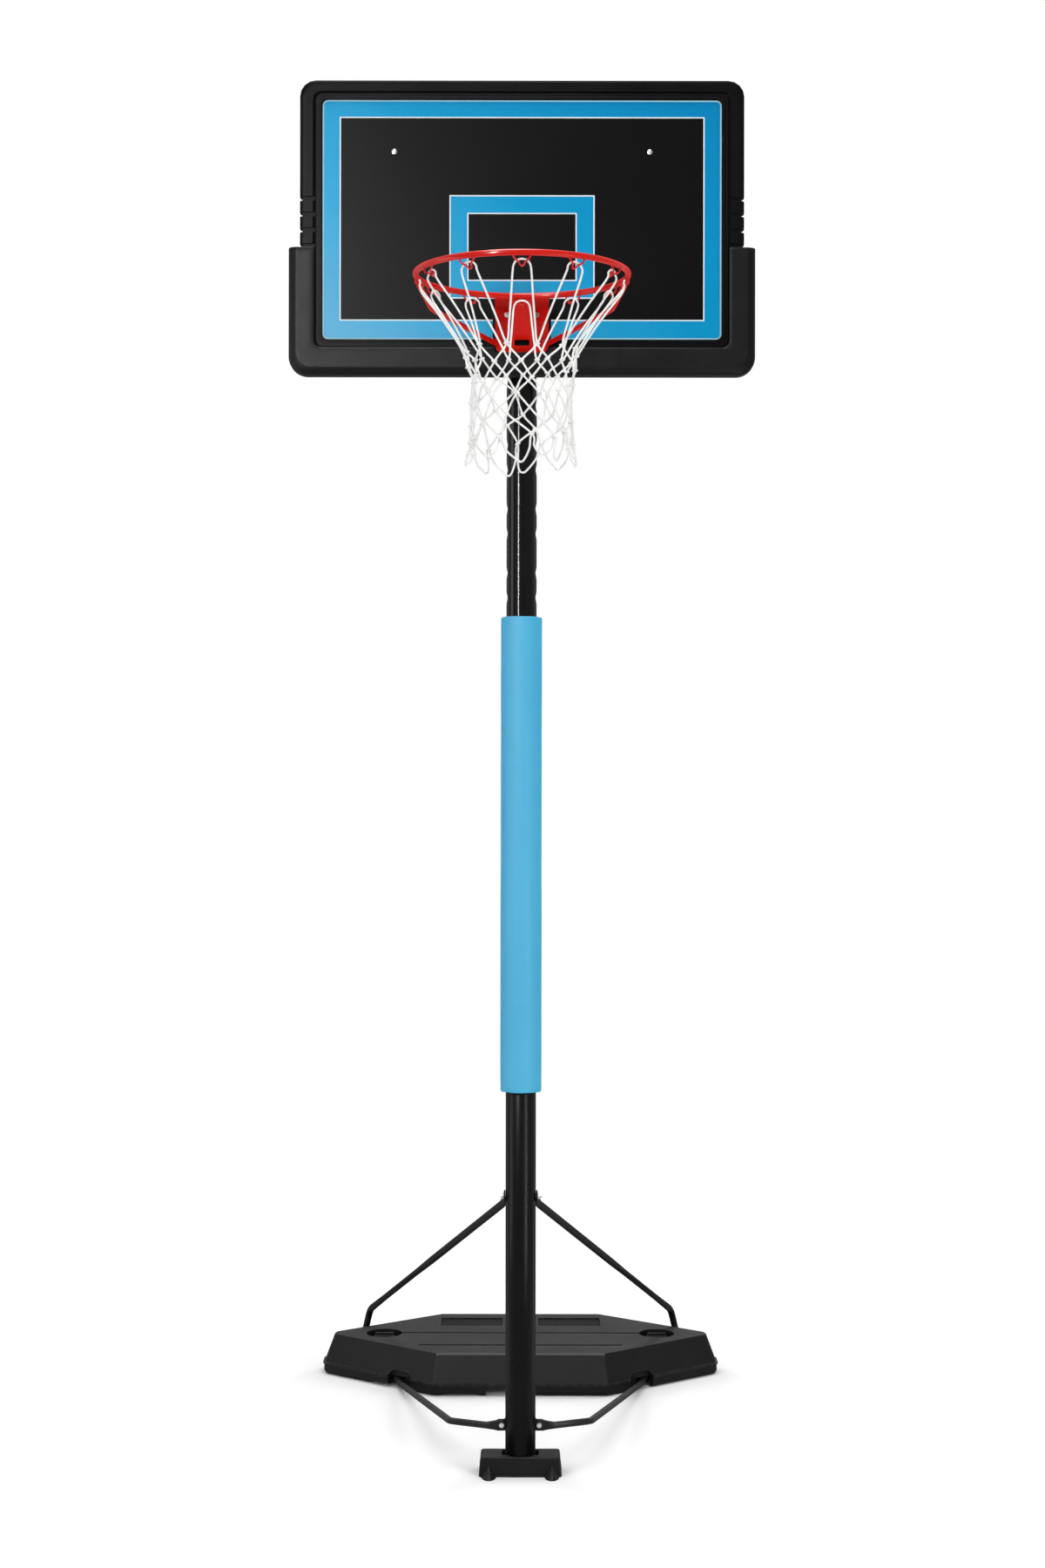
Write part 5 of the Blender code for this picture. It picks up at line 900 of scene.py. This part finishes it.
def buildFasteners():
    # each with its nut, in the box of its CAD node
    tail = boltLook["tail"]
    for name, node, body, along, radius, headShare in boltLook["bolts"]:
        low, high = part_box(node)
        axis = Vector((1 - along, along, 0))
        side = axis.orthogonal().normalized()
        start = (low + high) / 2
        end = start.copy()
        start[along], end[along] = low[along], high[along]
        head, tall, shank = radius * headShare, radius * boltLook["tall"], radius * boltLook["shank"]
        shankStart = start + axis * tall
        if node.endswith("board_bolt"):
            lofts = roundHead(shankStart, -axis, head, tall)
        else:
            lofts = boltHead(shankStart, -axis, side, head, tall)
        shankLength = (end - axis * (tail * 0.5) - shankStart).length
        lofts.append(lathe([(0, shank), (shankLength, shank)], shankStart, axis, boltLook["shankSides"]))
        lofts += boltHead(end - axis * (tail + tall), axis, side, head, tall)
        lofts.append(threadEnd(end - axis * tail, axis, radius, tail - radius * 0.2))
        addPiece(name, joinLofts(lofts), "zincPlate", body, (node,), sharp=35)


plugLook = {
    "round": 0.0022, "roundLeast": 0.0006, "roundFall": 0.2,    # steps: outwards, smaller by
    "steps": ((-0.0004, 0.0030), (0.0002, 0.0004), (0.0008, 0.0), (0.0022, 0.0002), (0.0030, 0.0010),
              (0.0033, 0.0022), (0.0030, 0.0050), (0.0020, 0.0054), (0.0020, 0.0100)),
}


def buildBarPlugs():
    # plastic plugs that close the ends of the cross bar
    low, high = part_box("cross_bar")
    middle, half = (low + high) / 2, (high - low) / 2
    lofts = []
    for side in (-1, 1):
        rings = []
        for out, shrink in plugLook["steps"]:
            radius = max(plugLook["roundLeast"], plugLook["round"] - shrink * plugLook["roundFall"])
            path = roundedPath((half.y - shrink, half.z - shrink), 0.0, radius, 4)
            rings.append([Vector((side * (high.x + out), middle.y + y, middle.z + z)) for y, z in path])
        lofts.append(rings)
    addPiece("crossBarPlugs", joinLofts(lofts), "smallPlastic", "mast")


buildFasteners()
buildBarPlugs()
print("fasteners are built")


# Rim

rimLook = {
    "centre": (0.0, -0.470, 2.760), "radius": 0.2325, "rod": 0.0068, "around": 160, "sides": 20,
    "hooks": 12, "wire": 0.0020, "hookLeg": 0.018, "hookBend": 0.0105, "hookDrop": 0.0083,
    "tongueReach": 0.016, "tongueDrop": 0.0085, "weld": 0.0032,
}


def buildRimRing():
    look = rimLook
    centre, radius, rod = Vector(look["centre"]), look["radius"], look["rod"]
    route = [centre + spoke(angle) * radius for angle in fullTurn(look["around"])]
    rings = tubeRings(route, rod, look["sides"], closed=True)
    addPiece("rimRing", joinLofts([rings], True), "rimRed", "mast", ("rim_ring",))
    leg, bow, reach = look["hookLeg"], look["hookBend"], look["tongueReach"]
    wire, weld = look["wire"], look["weld"]
    top = wire * 0.3 - rod
    bend = -rod - wire - look["hookDrop"]
    tip = bend - look["tongueDrop"]
    half = [(leg, 0.0, top), (leg * 0.93, 0.0, top * 0.6 + bend * 0.4), (bow, 0.0, bend),
            (bow * 0.62, -reach * 0.45, (bend * 3 + tip) / 4),
            (bow * 0.42, -reach * 0.8, (bend + tip * 2) / 3)]
    shape = half + [(0.0, -reach, tip)] + [(-s, r, z) for s, r, z in reversed(half)]
    bead = [(-0.0022, 0.0004), (-0.0012, 0.0024), (0.0004, weld), (0.0016, weld * 0.9), (0.0028, 0.0018)]
    lofts = []
    for angle in fullTurn(look["hooks"]):
        out = spoke(angle)
        along = Vector((-out.y, out.x, 0))
        base = centre + out * radius
        points = [base + along * s + out * r + Vector((0, 0, z)) for s, r, z in shape]
        lofts.append(tubeRings(softRoute(points, 5), wire, 10))
        for s in (-1, 1):
            lofts.append(lathe(bead, base + along * s * leg + Vector((0, 0, top)), (0, 0, 1), 12))
    addPiece("netHooks", joinLofts(lofts), "rimRed", "mast", ("rim_ring",))


gussetLook = {
    "sheet": 0.0024, "bend": 0.0036, "toe": 0.008, "rowGap": 0.0115, "edge": 0.0005,
    "slotHalf": 0.0173, "slotLow": 0.0083, "slotHigh": 0.0199, "bead": 0.0017, "beadSteps": 34,
}


def thickSheet(outer, inner, holes):
    # two grids of points as the faces of a sheet, with walls along every open edge
    rows, across = len(outer), len(outer[0])
    verts = [p for line in outer + inner for p in line]
    shift = rows * across
    faces, borders = [], {}
    for i in range(rows - 1):
        for j in range(across - 1):
            if (i, j) in holes:
                continue
            a = i * across + j
            b, c, d = a + 1, a + across + 1, a + across
            faces += [(a, b, c, d), (d + shift, c + shift, b + shift, a + shift)]
            for edge in ((a, b), (b, c), (c, d), (d, a)):
                if edge[::-1] in borders:
                    borders.pop(edge[::-1])
                else:
                    borders[edge] = True
    faces += [(b, a, a + shift, b + shift) for a, b in borders]
    return verts, faces


def gussetRow(z, y, back, half, bend, slot):
    row = [(-half, back, z), (-half, (y + back) / 2, z)]
    for i in range(5):
        turn = math.radians(22.5 * i)
        row.append((-half + bend * (1 - math.cos(turn)), y + bend * (1 - math.sin(turn)), z))
    row += [(x * slot, y, z) for x in (-1, -0.4, 0.4, 1)]
    return row + [(-x, v, w) for x, v, w in reversed(row[:7])]


def buildGusset():
    # a pressed sheet with folded sides and a slot, a dark plate behind the slot as painted shade, and the
    # welds that hold it
    low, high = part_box("rim_gusset")
    look = gussetLook
    nose, back, foot, sheet = low.y, high.y, low.z, look["sheet"]
    knee = high.z - look["toe"]
    slope = (back - look["toe"] - nose) / (knee - foot)
    heights = [knee - 0.002] + [knee - look["rowGap"] * i for i in range(1, 6)]
    heights += [foot + look["slotHigh"], foot + look["slotLow"], foot]
    stations = [(high.z, nose), (knee + 0.003, nose)] + [(z, nose + (knee - z) * slope) for z in heights]
    outer = [gussetRow(z, y, back, high.x, look["bend"], look["slotHalf"]) for z, y in stations]
    inner = [gussetRow(z, y + sheet, back, high.x - sheet, look["bend"] - sheet * 0.8, look["slotHalf"])
             for z, y in stations]
    slotRow = len(stations) - 3
    shape = thickSheet(outer, inner, [(slotRow, 7), (slotRow, 8), (slotRow, 9)])
    piece = addPiece("rimGusset", shape, "rimRed", "mast", ("rim_gusset",))
    softenEdges(piece, look["edge"], 2, 40)
    # a dark plate behind the slot, as painted shade for the slot's dark inside
    wide, floor, top = look["slotHalf"] + 0.002, foot + 0.004, foot + (look["slotHigh"] + 0.003)
    rings = [[(x, y, z) for x, z in ((-wide, floor), (wide, floor), (wide, top), (-wide, top))]
             for y in (back - 0.0045, back - 0.0055)]
    addPiece("slotShadePlate", joinLofts([rings]), "powderBlack", "mast")
    draw = random.Random(3)
    count = look["beadSteps"]
    beads = []
    for side in (-1, 1):
        route, sizes = [], []
        for i in range(count + 1):
            z = foot + 0.004 + (high.z - foot - 0.010) * i / count
            route.append((side * (high.x + 0.0004), back - 0.0002, z))
            sizes.append(look["bead"] * (0.86 + 0.14 * math.cos(i * 2.1) + draw.uniform(-0.06, 0.06)))
        beads.append(tubeRings(route, sizes, 10))
    addPiece("gussetWelds", joinLofts(beads), "rimRed", "mast", sharp=180)


buildRimRing()
buildGusset()
print("rim is built")


# Net

netLook = {
    "cord": 0.0022, "lobes": 3, "depth": 0.10, "pitch": 0.016, "sides": 9, "gap": 0.0022,
    "hangHalf": 0.0150, "hangDrop": 0.0132, "hangIn": 0.0085,
    "hang": ((-1.32, 0.003, 0.022), (-1.05, 0.001, 0.007), (-0.45, 0, 0.0),      # aside, inwards, down
             (0.45, 0, 0.0), (1.05, 0.001, 0.007), (1.32, 0.003, 0.022)),
    "rows": ((0.170, 0.127), (0.203, 0.119), (0.239, 0.112), (0.283, 0.109), (0.327, 0.110),
             (0.367, 0.115)),                                                            # drop, radius
    "loop": (0.424, 0.127),
    "swing": 0.050, "slack": 0.0045, "lift": 0.007, "turn": 0.16, "sway": 0.008, "legSag": 0.006,
    "wrap": (0.0046, 0.0052), "wrapSteps": 20, "wrapCord": 0.92, "wrapSides": 8,
}


def hangPlace(angle, radius, drop):
    return Vector(rimLook["centre"]) + Vector((math.cos(angle) * radius, math.sin(angle) * radius, -drop))


def outwardAt(point):
    out = point - Vector(rimLook["centre"])
    out.z = 0
    return out.normalized()


def offsetKnot(spot, lean):
    # the two cords of a knot lie one behind the other
    return spot + outwardAt(spot) * lean * netLook["cord"] * 0.85


def legBetween(top, bottom):
    # a slack leg hangs a little inwards and down
    points = []
    for share in (1 / 3, 2 / 3):
        spot = top.lerp(bottom, share)
        sag = math.sin(math.pi * share) * netLook["legSag"]
        points.append(spot - outwardAt(spot) * sag - Vector((0, 0, sag * 0.4)))
    return points


def loopPoints(before, tip, after):
    # a hanging loop below two knots
    side = after - before
    side.z = 0
    side.normalize()
    rise, sink = Vector((0, 0, 0.006)), Vector((0, 0, -0.004))
    return [before.lerp(tip, 0.45) - side * 0.006 + sink, tip - side * 0.009 + rise, tip.copy(),
            tip + side * 0.009 + rise, after.lerp(tip, 0.45) + side * 0.006 + sink]


def evenRoute(points, gap):
    # the closed route again, at even steps
    count = len(points)
    length = [0.0]
    for i in range(count):
        length.append(length[-1] + (points[(i + 1) % count] - points[i]).length)
    total = length[-1]
    wanted = int(total / gap)
    route, index = [], 0
    for step in range(wanted):
        target = total * step / wanted
        while length[index + 1] < target:
            index += 1
        share = (target - length[index]) / max(1e-9, length[index + 1] - length[index])
        route.append(points[index].lerp(points[(index + 1) % count], share))
    return route


def cordRings(route, radius, sides):
    return tubeRings(route, radius, sides, True, netLook["lobes"], netLook["depth"], netLook["pitch"])


def knotWrap(spot, draw):
    # a turn of cord round the crossing
    out = outwardAt(spot)
    tilt = draw.uniform(-0.5, 0.5)
    first = turned(Vector((-out.y, out.x, 0)), Vector((0, 0, 1)), tilt).normalized()
    wide, deep = netLook["wrap"]
    route = [spot + first * math.cos(turn) * wide + out * math.sin(turn) * deep
             for turn in fullTurn(netLook["wrapSteps"])]
    return cordRings(route, netLook["cord"] * netLook["wrapCord"], netLook["wrapSides"])


def buildNet():
    # one closed cord hangs over each hook in turn. Both halves wind down through the knots to a loop
    draw = random.Random(7)
    hooks, rows = rimLook["hooks"], len(netLook["rows"])
    step = 2 * math.pi / hooks
    swing, turn = netLook["swing"], netLook["turn"]
    knots = []
    for row, (drop, radius) in enumerate(netLook["rows"]):
        line = []
        grow = (row + 1) / rows
        for k in range(hooks):
            angle = step * (k + 0.5 * (row + 1)) + draw.uniform(-1, 1) * swing * (0.4 + grow)
            angle += turn * grow * math.sin(angle * 2 + row * 0.9)
            sway = math.sin(angle * 3 + row * 1.3) * netLook["sway"] * grow
            line.append(hangPlace(angle, radius + draw.uniform(-1, 1) * netLook["slack"] + sway * 0.5,
                                  drop + draw.uniform(-1, 1) * netLook["lift"] * (0.5 + grow) + sway))
        knots.append(line)
    loops = []
    for k in range(hooks):
        angle = step * (k + 0.5 * (rows + 1)) + draw.uniform(-1, 1) * swing * 2
        angle += turn * math.sin(angle * 2 + rows * 0.9)
        loops.append(hangPlace(angle, netLook["loop"][1] + draw.uniform(-0.008, 0.007),
                               netLook["loop"][0] + draw.uniform(-0.020, 0.004)))
    hang = rimLook["radius"] - netLook["hangIn"]
    half = netLook["hangHalf"] / hang
    route = []
    for number in range(hooks):
        k = number * (rows + 1) % hooks
        # the left half steps one knot back at each row
        left = [offsetKnot(knots[row][(k - row - 1) % hooks], -1) for row in reversed(range(rows))]
        over = [hangPlace(step * k + s * half, hang - lean, netLook["hangDrop"] + dip)
                for s, lean, dip in netLook["hang"]]
        right = [offsetKnot(knots[row][k], 1) for row in range(rows)]
        route += left + legBetween(left[-1], over[0]) + over + legBetween(over[-1], right[0]) + right
        route += loopPoints(right[-1], loops[k], knots[-1][(k + 1) % hooks])
    fine = evenRoute(softRoute(route, 10, closed=True), netLook["gap"])
    tubes = [cordRings(fine, netLook["cord"], netLook["sides"])]
    tubes += [knotWrap(spot, draw) for line in knots for spot in line]
    addPiece("cordNet", joinLofts(tubes, True), "cordFibre", "mast", ("net",), sharp=180)


buildNet()
print("net is built")


# Pole pad

padLook = {
    "inner": 0.0385, "outer": 0.0492, "slit": 0.0030, "around": 60, "step": 0.009, "roll": 0.0022,
    "window": 0.0500, "windowLow": 1.9225, "windowEase": 0.006,
    "ripple": 0.0005, "dent": 0.0007, "endRipple": 0.0004, "endReach": 0.03, "lip": 0.00018, "proud": 0.0002,
}
tapeLook = {
    "inner": 0.0496, "outer": 0.0511, "width": 0.034, "across": 16, "step": 0.0035, "thinned": 0.0007,
    "groove": 0.00045, "stitch": 0.00035, "stitchPitch": 0.0050, "stitchShare": 0.76,
    "stitchSteps": ((-0.0005, 0.0), (0.0002, 0.0006), (0.0002, 0.0029), (-0.0005, 0.0035)),   # lift, rise
}


def slowWave(value, seed):
    # a smooth sum of sines between -1 and 1
    return (math.sin(value + seed * 1.7) + 0.6 * math.sin(value * 2.3 + seed * 2.9)
            + 0.35 * math.sin(value * 4.1 + seed * 4.3)) / 1.95


def padHeights(bottom, top):
    roll, step = padLook["roll"], padLook["step"]
    heights = [bottom, bottom + roll * 0.35, bottom + roll, top - roll, top - roll * 0.35, top]
    heights += [padLook["windowLow"] + extra for extra in (-0.003, 0.0, 0.003, 0.006)]
    heights += everyStep(bottom + step, top - step * 0.7, step)
    return sorted(set(round(h, 6) for h in heights))


def padWobble(angle, z, end):
    wobble = (slowWave(angle * 2 + z * 1.5, 1) * padLook["ripple"]
              + slowWave(z * 9 + math.sin(angle) * 2, 2) * padLook["dent"] * 0.5)
    if end < padLook["endReach"]:
        wobble += slowWave(angle * 3, 5) * padLook["endRipple"] * (1 - end / padLook["endReach"])
    return wobble


def buildPad():
    # a split sleeve with rolled ends, which opens to a window at the rear near its top
    low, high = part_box("pole_pad")
    bottom, top = low.z, high.z
    roll, around, slit = padLook["roll"], padLook["around"], padLook["slit"]
    rings = []
    for z in padHeights(bottom, top):
        end = min(z - bottom, top - z)
        ease = max(0.0, 1 - end / roll)
        inset = roll * (1 - math.sqrt(max(0.0, 1 - ease * ease)))
        blend = max(0.0, min(1.0, (z - padLook["windowLow"]) / padLook["windowEase"]))
        gap = slit + (padLook["window"] - slit) * blend * blend * (3 - 2 * blend)
        outer, inner = padLook["outer"] - inset, padLook["inner"] + inset * 0.6
        spanOut, spanIn = math.asin(gap / 2 / outer), math.asin(gap / 2 / inner)
        ring = []
        for i in range(around + 1):
            angle = math.pi / 2 + spanOut + (2 * math.pi - 2 * spanOut) * i / around
            thinned = max(0, 3 - min(i, around - i)) ** 2 * padLook["lip"]
            reach = outer + min(padLook["proud"], padWobble(angle, z, end) - thinned)
            rise = slowWave(angle * 2, 3) * 0.0008 if end < 0.004 and inset > 0 else 0.0
            ring.append((reach * math.cos(angle), reach * math.sin(angle), z + rise))
        for i in range(around + 1):
            angle = math.pi / 2 + 2 * math.pi - spanIn - (2 * math.pi - 2 * spanIn) * i / around
            ring.append((inner * math.cos(angle), inner * math.sin(angle), z))
        rings.append(ring)
    pad = addPiece("padSleeve", joinLofts([rings]), "blueFoam", "stand", ("pole_pad",), sharp=60)


def buildPadTape():
    # the hook-and-loop strip down the pad's rear, with a sewn margin on each side
    low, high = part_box("pad_closure_strip")
    look = tapeLook
    across = look["across"]
    spread = math.asin(look["width"] / 2 / look["outer"])
    heights = everyStep(low.z, high.z, look["step"]) + [high.z]
    rings = []
    for row, z in enumerate(heights):
        atEnd = row in (0, len(heights) - 1)
        narrow = spread * (0.90 if atEnd else 1.0)
        ring = []
        for i in range(across + 1):
            share = i / across
            angle = math.pi / 2 - narrow + 2 * narrow * share
            margin = min(share, 1 - share)
            lift = look["outer"] - (look["thinned"] if margin < 0.07 or atEnd else 0.0)
            if 0.10 < margin < 0.15:
                lift -= look["groove"]
            ring.append((lift * math.cos(angle), lift * math.sin(angle) + 0.00012 * math.sin(z * 90), z))
        for i in range(across + 1):
            angle = math.pi / 2 + narrow - 2 * narrow * i / across
            ring.append((look["inner"] * math.cos(angle), look["inner"] * math.sin(angle), z))
        rings.append(ring)
    addPiece("padTape", joinLofts([rings]), "blueTape", "stand", ("pad_closure_strip",),
             sharp=50)
    reach = look["outer"] - look["stitch"]
    stitches = []
    for side in (-1, 1):
        out = spoke(math.pi / 2 + side * spread * look["stitchShare"])
        for z in everyStep(low.z + 0.006, high.z - 0.008, look["stitchPitch"]):
            stitch = [out * (reach + lift) + Vector((0, 0, z + rise)) for lift, rise in look["stitchSteps"]]
            stitches.append(tubeRings(stitch, look["stitch"], 6))
    addPiece("padStitches", joinLofts(stitches), "blueTape", "stand", sharp=180)


buildPad()
buildPadTape()
print("pad is built")


# Edge guard

guardLook = {
    "side": 0.5225, "bottom": 2.6275, "outside": 0.0255, "bandSide": 0.037, "bandBottom": 0.0395,
    "boardCorner": 0.037, "guardCorner": 0.043, "bandCorner": 0.016, "top": 2.901,
    "front": -0.0970, "rear": -0.0564, "face": 0.0100, "rearFace": 0.0080, "gap": 0.0003, "lip": 0.62,
    "notchHalf": 0.0633, "notchShare": 0.67, "notchWall": 0.0006, "wave": 0.0003, "endDrop": 0.0015,
    "sideSteps": 22, "cornerSteps": 14, "floorSteps": 52, "floorGap": 0.02, "floorHalf": 0.52,
    "rollTurn": 52, "rollShare": 0.36, "rollSteps": (0.13, 0.27, 0.4, 0.53, 0.66, 0.79, 0.9, 0.965, 1.0),
    "faceSteps": ((-0.22, 0.0), (-0.05, 0.0), (0.30, 0.0), (0.60, 0.0), (0.84, 0.0001), (0.93, 0.0008),
                  (0.985, 0.0026), (1.0, 0.0048)),
}


def guardSpot(share, kind, amount):
    # a point in x and z of the guard's path, down the left side, along the floor and up the right
    look = guardLook
    if share < 0:
        side = look["side"] - look["outside"] * share
        bottom = look["bottom"] + look["outside"] * share
        radius = look["boardCorner"] + (look["boardCorner"] - look["guardCorner"]) * share
    else:
        side = look["side"] - look["bandSide"] * share
        bottom = look["bottom"] + look["bandBottom"] * share
        radius = look["boardCorner"] + (look["bandCorner"] - look["boardCorner"]) * share
    hub, sill, top = side - radius, bottom + radius, look["top"]
    if kind == "left":
        return -side, top + (sill - top) * amount
    if kind == "right":
        return side, sill + (top - sill) * amount
    if kind == "floor":
        return max(-hub, min(hub, amount)), bottom
    start, middle = (180, -hub) if kind == "leftCorner" else (270, hub)
    angle = math.radians(start + 90 * amount)
    return middle + radius * math.cos(angle), sill + radius * math.sin(angle)


def guardProfile():
    # share and depth of the section, from the rear lip round the outer roll to the front's inner edge
    look = guardLook
    front, rear, lip, roll = look["front"], look["rear"], look["lip"], look["rollShare"]
    back, face = rear + look["rearFace"], front - look["face"]
    skin = -look["gap"] / look["outside"]
    points = [(skin, rear), (lip, rear), (lip + 0.03, rear + 0.0020), (lip, rear + look["rearFace"] * 0.8),
              (lip - 0.12, back), (-0.30, back)]
    for i in range(1, 8):
        turn = math.radians(90 * i / 8)
        points.append((-0.30 - 0.70 * math.sin(turn), back - 0.016 * (1 - math.cos(turn))))
    points += [(-1.0, rear - 0.012), (-1.0, front + 0.010)]
    last = math.radians(look["rollTurn"])
    for share in look["rollSteps"]:
        turn = last * share
        points.append((-1.0 + (1.0 - roll) * (1 - math.cos(turn)) / (1 - math.cos(last)),
                       front + 0.006 - (look["face"] + 0.0055) * math.sin(turn) / math.sin(last)))
    points.append((0.03 - roll, face + 0.0001))
    points += [(share, face + lift) for share, lift in look["faceSteps"]]
    return points + [(1.0, front), (skin, front)]


def buildGuard():
    look = guardLook
    front, notch, down, bend = look["front"], look["notchHalf"], look["sideSteps"], look["cornerSteps"]
    spots = [look["floorGap"] * i - look["floorHalf"] for i in range(look["floorSteps"] + 1)]
    spots += [-notch - look["notchWall"], -notch, notch, notch + look["notchWall"]]
    stops = [("left", i / down) for i in range(down)] + [("leftCorner", i / bend) for i in range(bend)]
    stops += [("floor", x) for x in sorted(spots)] + [("rightCorner", i / bend) for i in range(1, bend + 1)]
    stops += [("right", i / down) for i in range(1, down + 1)]
    profile = guardProfile()
    rings = []
    for kind, amount in stops:
        ring = []
        for share, y in profile:
            if kind == "floor" and abs(amount) <= notch + 1e-6 and y < front + 1e-6:
                share = min(share, look["notchShare"])
            x, z = guardSpot(share, kind, amount)
            if y < front - 0.004 and share > -0.9:
                y += (slowWave(x * 7 + z * 9, 3) + 0.5 * slowWave(x * 23 - z * 17, 8)) * look["wave"]
            ring.append(Vector((x, y, z)))
        rings.append(ring)
    for end in (0, -1):
        middle = sum(rings[end], Vector()) / len(rings[end])
        cap = [p + Vector(((middle.x - p.x) * 0.06, (middle.y - p.y) * 0.05, 0)) for p in rings[end]]
        rings[end] = [p - Vector((0, 0, look["endDrop"])) for p in rings[end]]
        rings.insert(0 if end == 0 else len(rings), cap)
    guard = addPiece("edgeGuard", joinLofts([rings]), "guardFoam", "mast", ("edge_guard",),
                     sharp=50)


surroundLook = {"gap": 0.0005, "wide": 0.0060, "round": 0.0135, "rear": 0.0006, "proud": 0.0022,
                "soft": 0.0007, "steps": 10}


def buildSurround():
    # a thin raised lip round the panel
    low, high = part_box("backboard_panel")
    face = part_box("backboard_frame")[0].y
    look = surroundLook
    half, centre = (high - low) / 2, (high.z + low.z) / 2
    inner, outer = look["gap"], look["gap"] + look["wide"]
    front, rear, soft = face - look["proud"], face + look["rear"], look["soft"]
    lines = []
    for grow, y in ((inner, rear), (inner, front + soft), (inner + soft * 0.3, front + soft * 0.3),
                    (inner + soft, front), (outer - soft, front), (outer - soft * 0.3, front + soft * 0.3),
                    (outer, front + soft), (outer, rear)):
        path = roundedPath((half.x + grow, half.z + grow), centre, look["round"] + grow, look["steps"])
        lines.append([(x, y, z) for x, z in path])
    addPiece("panelSurround", joinLofts([list(zip(*lines))], True), "boardPlastic", "mast",
             sharp=50)


buildGuard()
buildSurround()
print("edge guard is built")


# CAD nodes that stay, with their materials

nodeMaterials = {
    "tankPlastic": ("base_tank",),
    "boardPlastic": ("backboard_frame",),
    "smallPlastic": ("pole_foot", "pole_cap", "guide_collar", "left_fill_cap", "right_fill_cap", "lock_knob"),
    "wheelPlastic": ("left_wheel", "right_wheel"),
    "powderBlack": ("lock_boss", "left_upper_strut", "right_upper_strut", "cross_bar", "pole_bracket"),
    "litStrutPaint": ("left_lower_strut", "right_lower_strut", "lower_strut_bracket"),
    "rimRed": ("rim_bracket", "left_brace", "right_brace"),
    "printedPanel": ("backboard_panel",),
    "zincPlate": ("left_axle", "right_axle", "left_rear_strut_screw", "right_rear_strut_screw",
                  "left_front_strut_screw", "right_front_strut_screw"),
}

nodeEdges = {                        # width of the rounding on edges, where the CAD leaves them sharp
    "base_tank": 0.0035, "backboard_frame": 0.0020, "pole_foot": 0.0016, "lower_strut_bracket": 0.0004,
    "rim_bracket": 0.0010, "cross_bar": 0.0012, "pole_bracket": 0.0008,
    "left_wheel": 0.0010, "right_wheel": 0.0010, "left_fill_cap": 0.0006, "right_fill_cap": 0.0006,
}

skinLook = {                         # distance in metres, angles in degrees
    "joinWithin": 0.00002, "flatWithin": 0.4, "roundSteps": 3, "roundFrom": 32, "smoothBelow": 35,
    "evenWeight": 80,
}


def buildSmoother():
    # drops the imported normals, then shades every edge below the limit as smooth
    group = bpy.data.node_groups.new("smoothSkin", "GeometryNodeTree")
    for direction in ("INPUT", "OUTPUT"):
        group.interface.new_socket("Geometry", in_out=direction, socket_type="NodeSocketGeometry")
    given = group.nodes.new("NodeGroupInput")
    out = group.nodes.new("NodeGroupOutput")
    drop = group.nodes.new("GeometryNodeRemoveAttribute")
    drop.inputs["Name"].default_value = "custom_normal"
    faces = group.nodes.new("GeometryNodeSetShadeSmooth")
    faces.domain = "FACE"
    edges = group.nodes.new("GeometryNodeSetShadeSmooth")
    edges.domain = "EDGE"
    edges.inputs["Shade Smooth"].default_value = False
    bend = group.nodes.new("GeometryNodeInputMeshEdgeAngle")
    compare = group.nodes.new("FunctionNodeCompare")
    compare.operation = "GREATER_THAN"
    compare.inputs[1].default_value = math.radians(skinLook["smoothBelow"])
    for source, target in ((bend.outputs["Unsigned Angle"], compare.inputs[0]),
                           (given.outputs["Geometry"], drop.inputs["Geometry"]),
                           (drop.outputs["Geometry"], faces.inputs[0]),
                           (faces.outputs[0], edges.inputs[0]),
                           (compare.outputs[0], edges.inputs["Selection"]),
                           (edges.outputs[0], out.inputs["Geometry"])):
        group.links.new(source, target)
    return group


smoother = buildSmoother()


def dressNode(name, material):
    node = nodes[name]
    node.data.materials.clear()
    node.data.materials.append(materials[material])
    weld = node.modifiers.new("joinCorners", "WELD")
    weld.merge_threshold = skinLook["joinWithin"]
    flat = node.modifiers.new("joinFlats", "DECIMATE")
    flat.decimate_type = "DISSOLVE"
    flat.angle_limit = math.radians(skinLook["flatWithin"])
    if name in nodeEdges:
        softenEdges(node, nodeEdges[name], skinLook["roundSteps"], skinLook["roundFrom"])
    skin = node.modifiers.new("smoothSkin", "NODES")
    skin.node_group = smoother
    evened = node.modifiers.new("evenNormals", "WEIGHTED_NORMAL")
    evened.keep_sharp = True
    evened.weight = skinLook["evenWeight"]


for material, names in nodeMaterials.items():
    for name in names:
        dressNode(name, material)
print("CAD nodes are dressed")
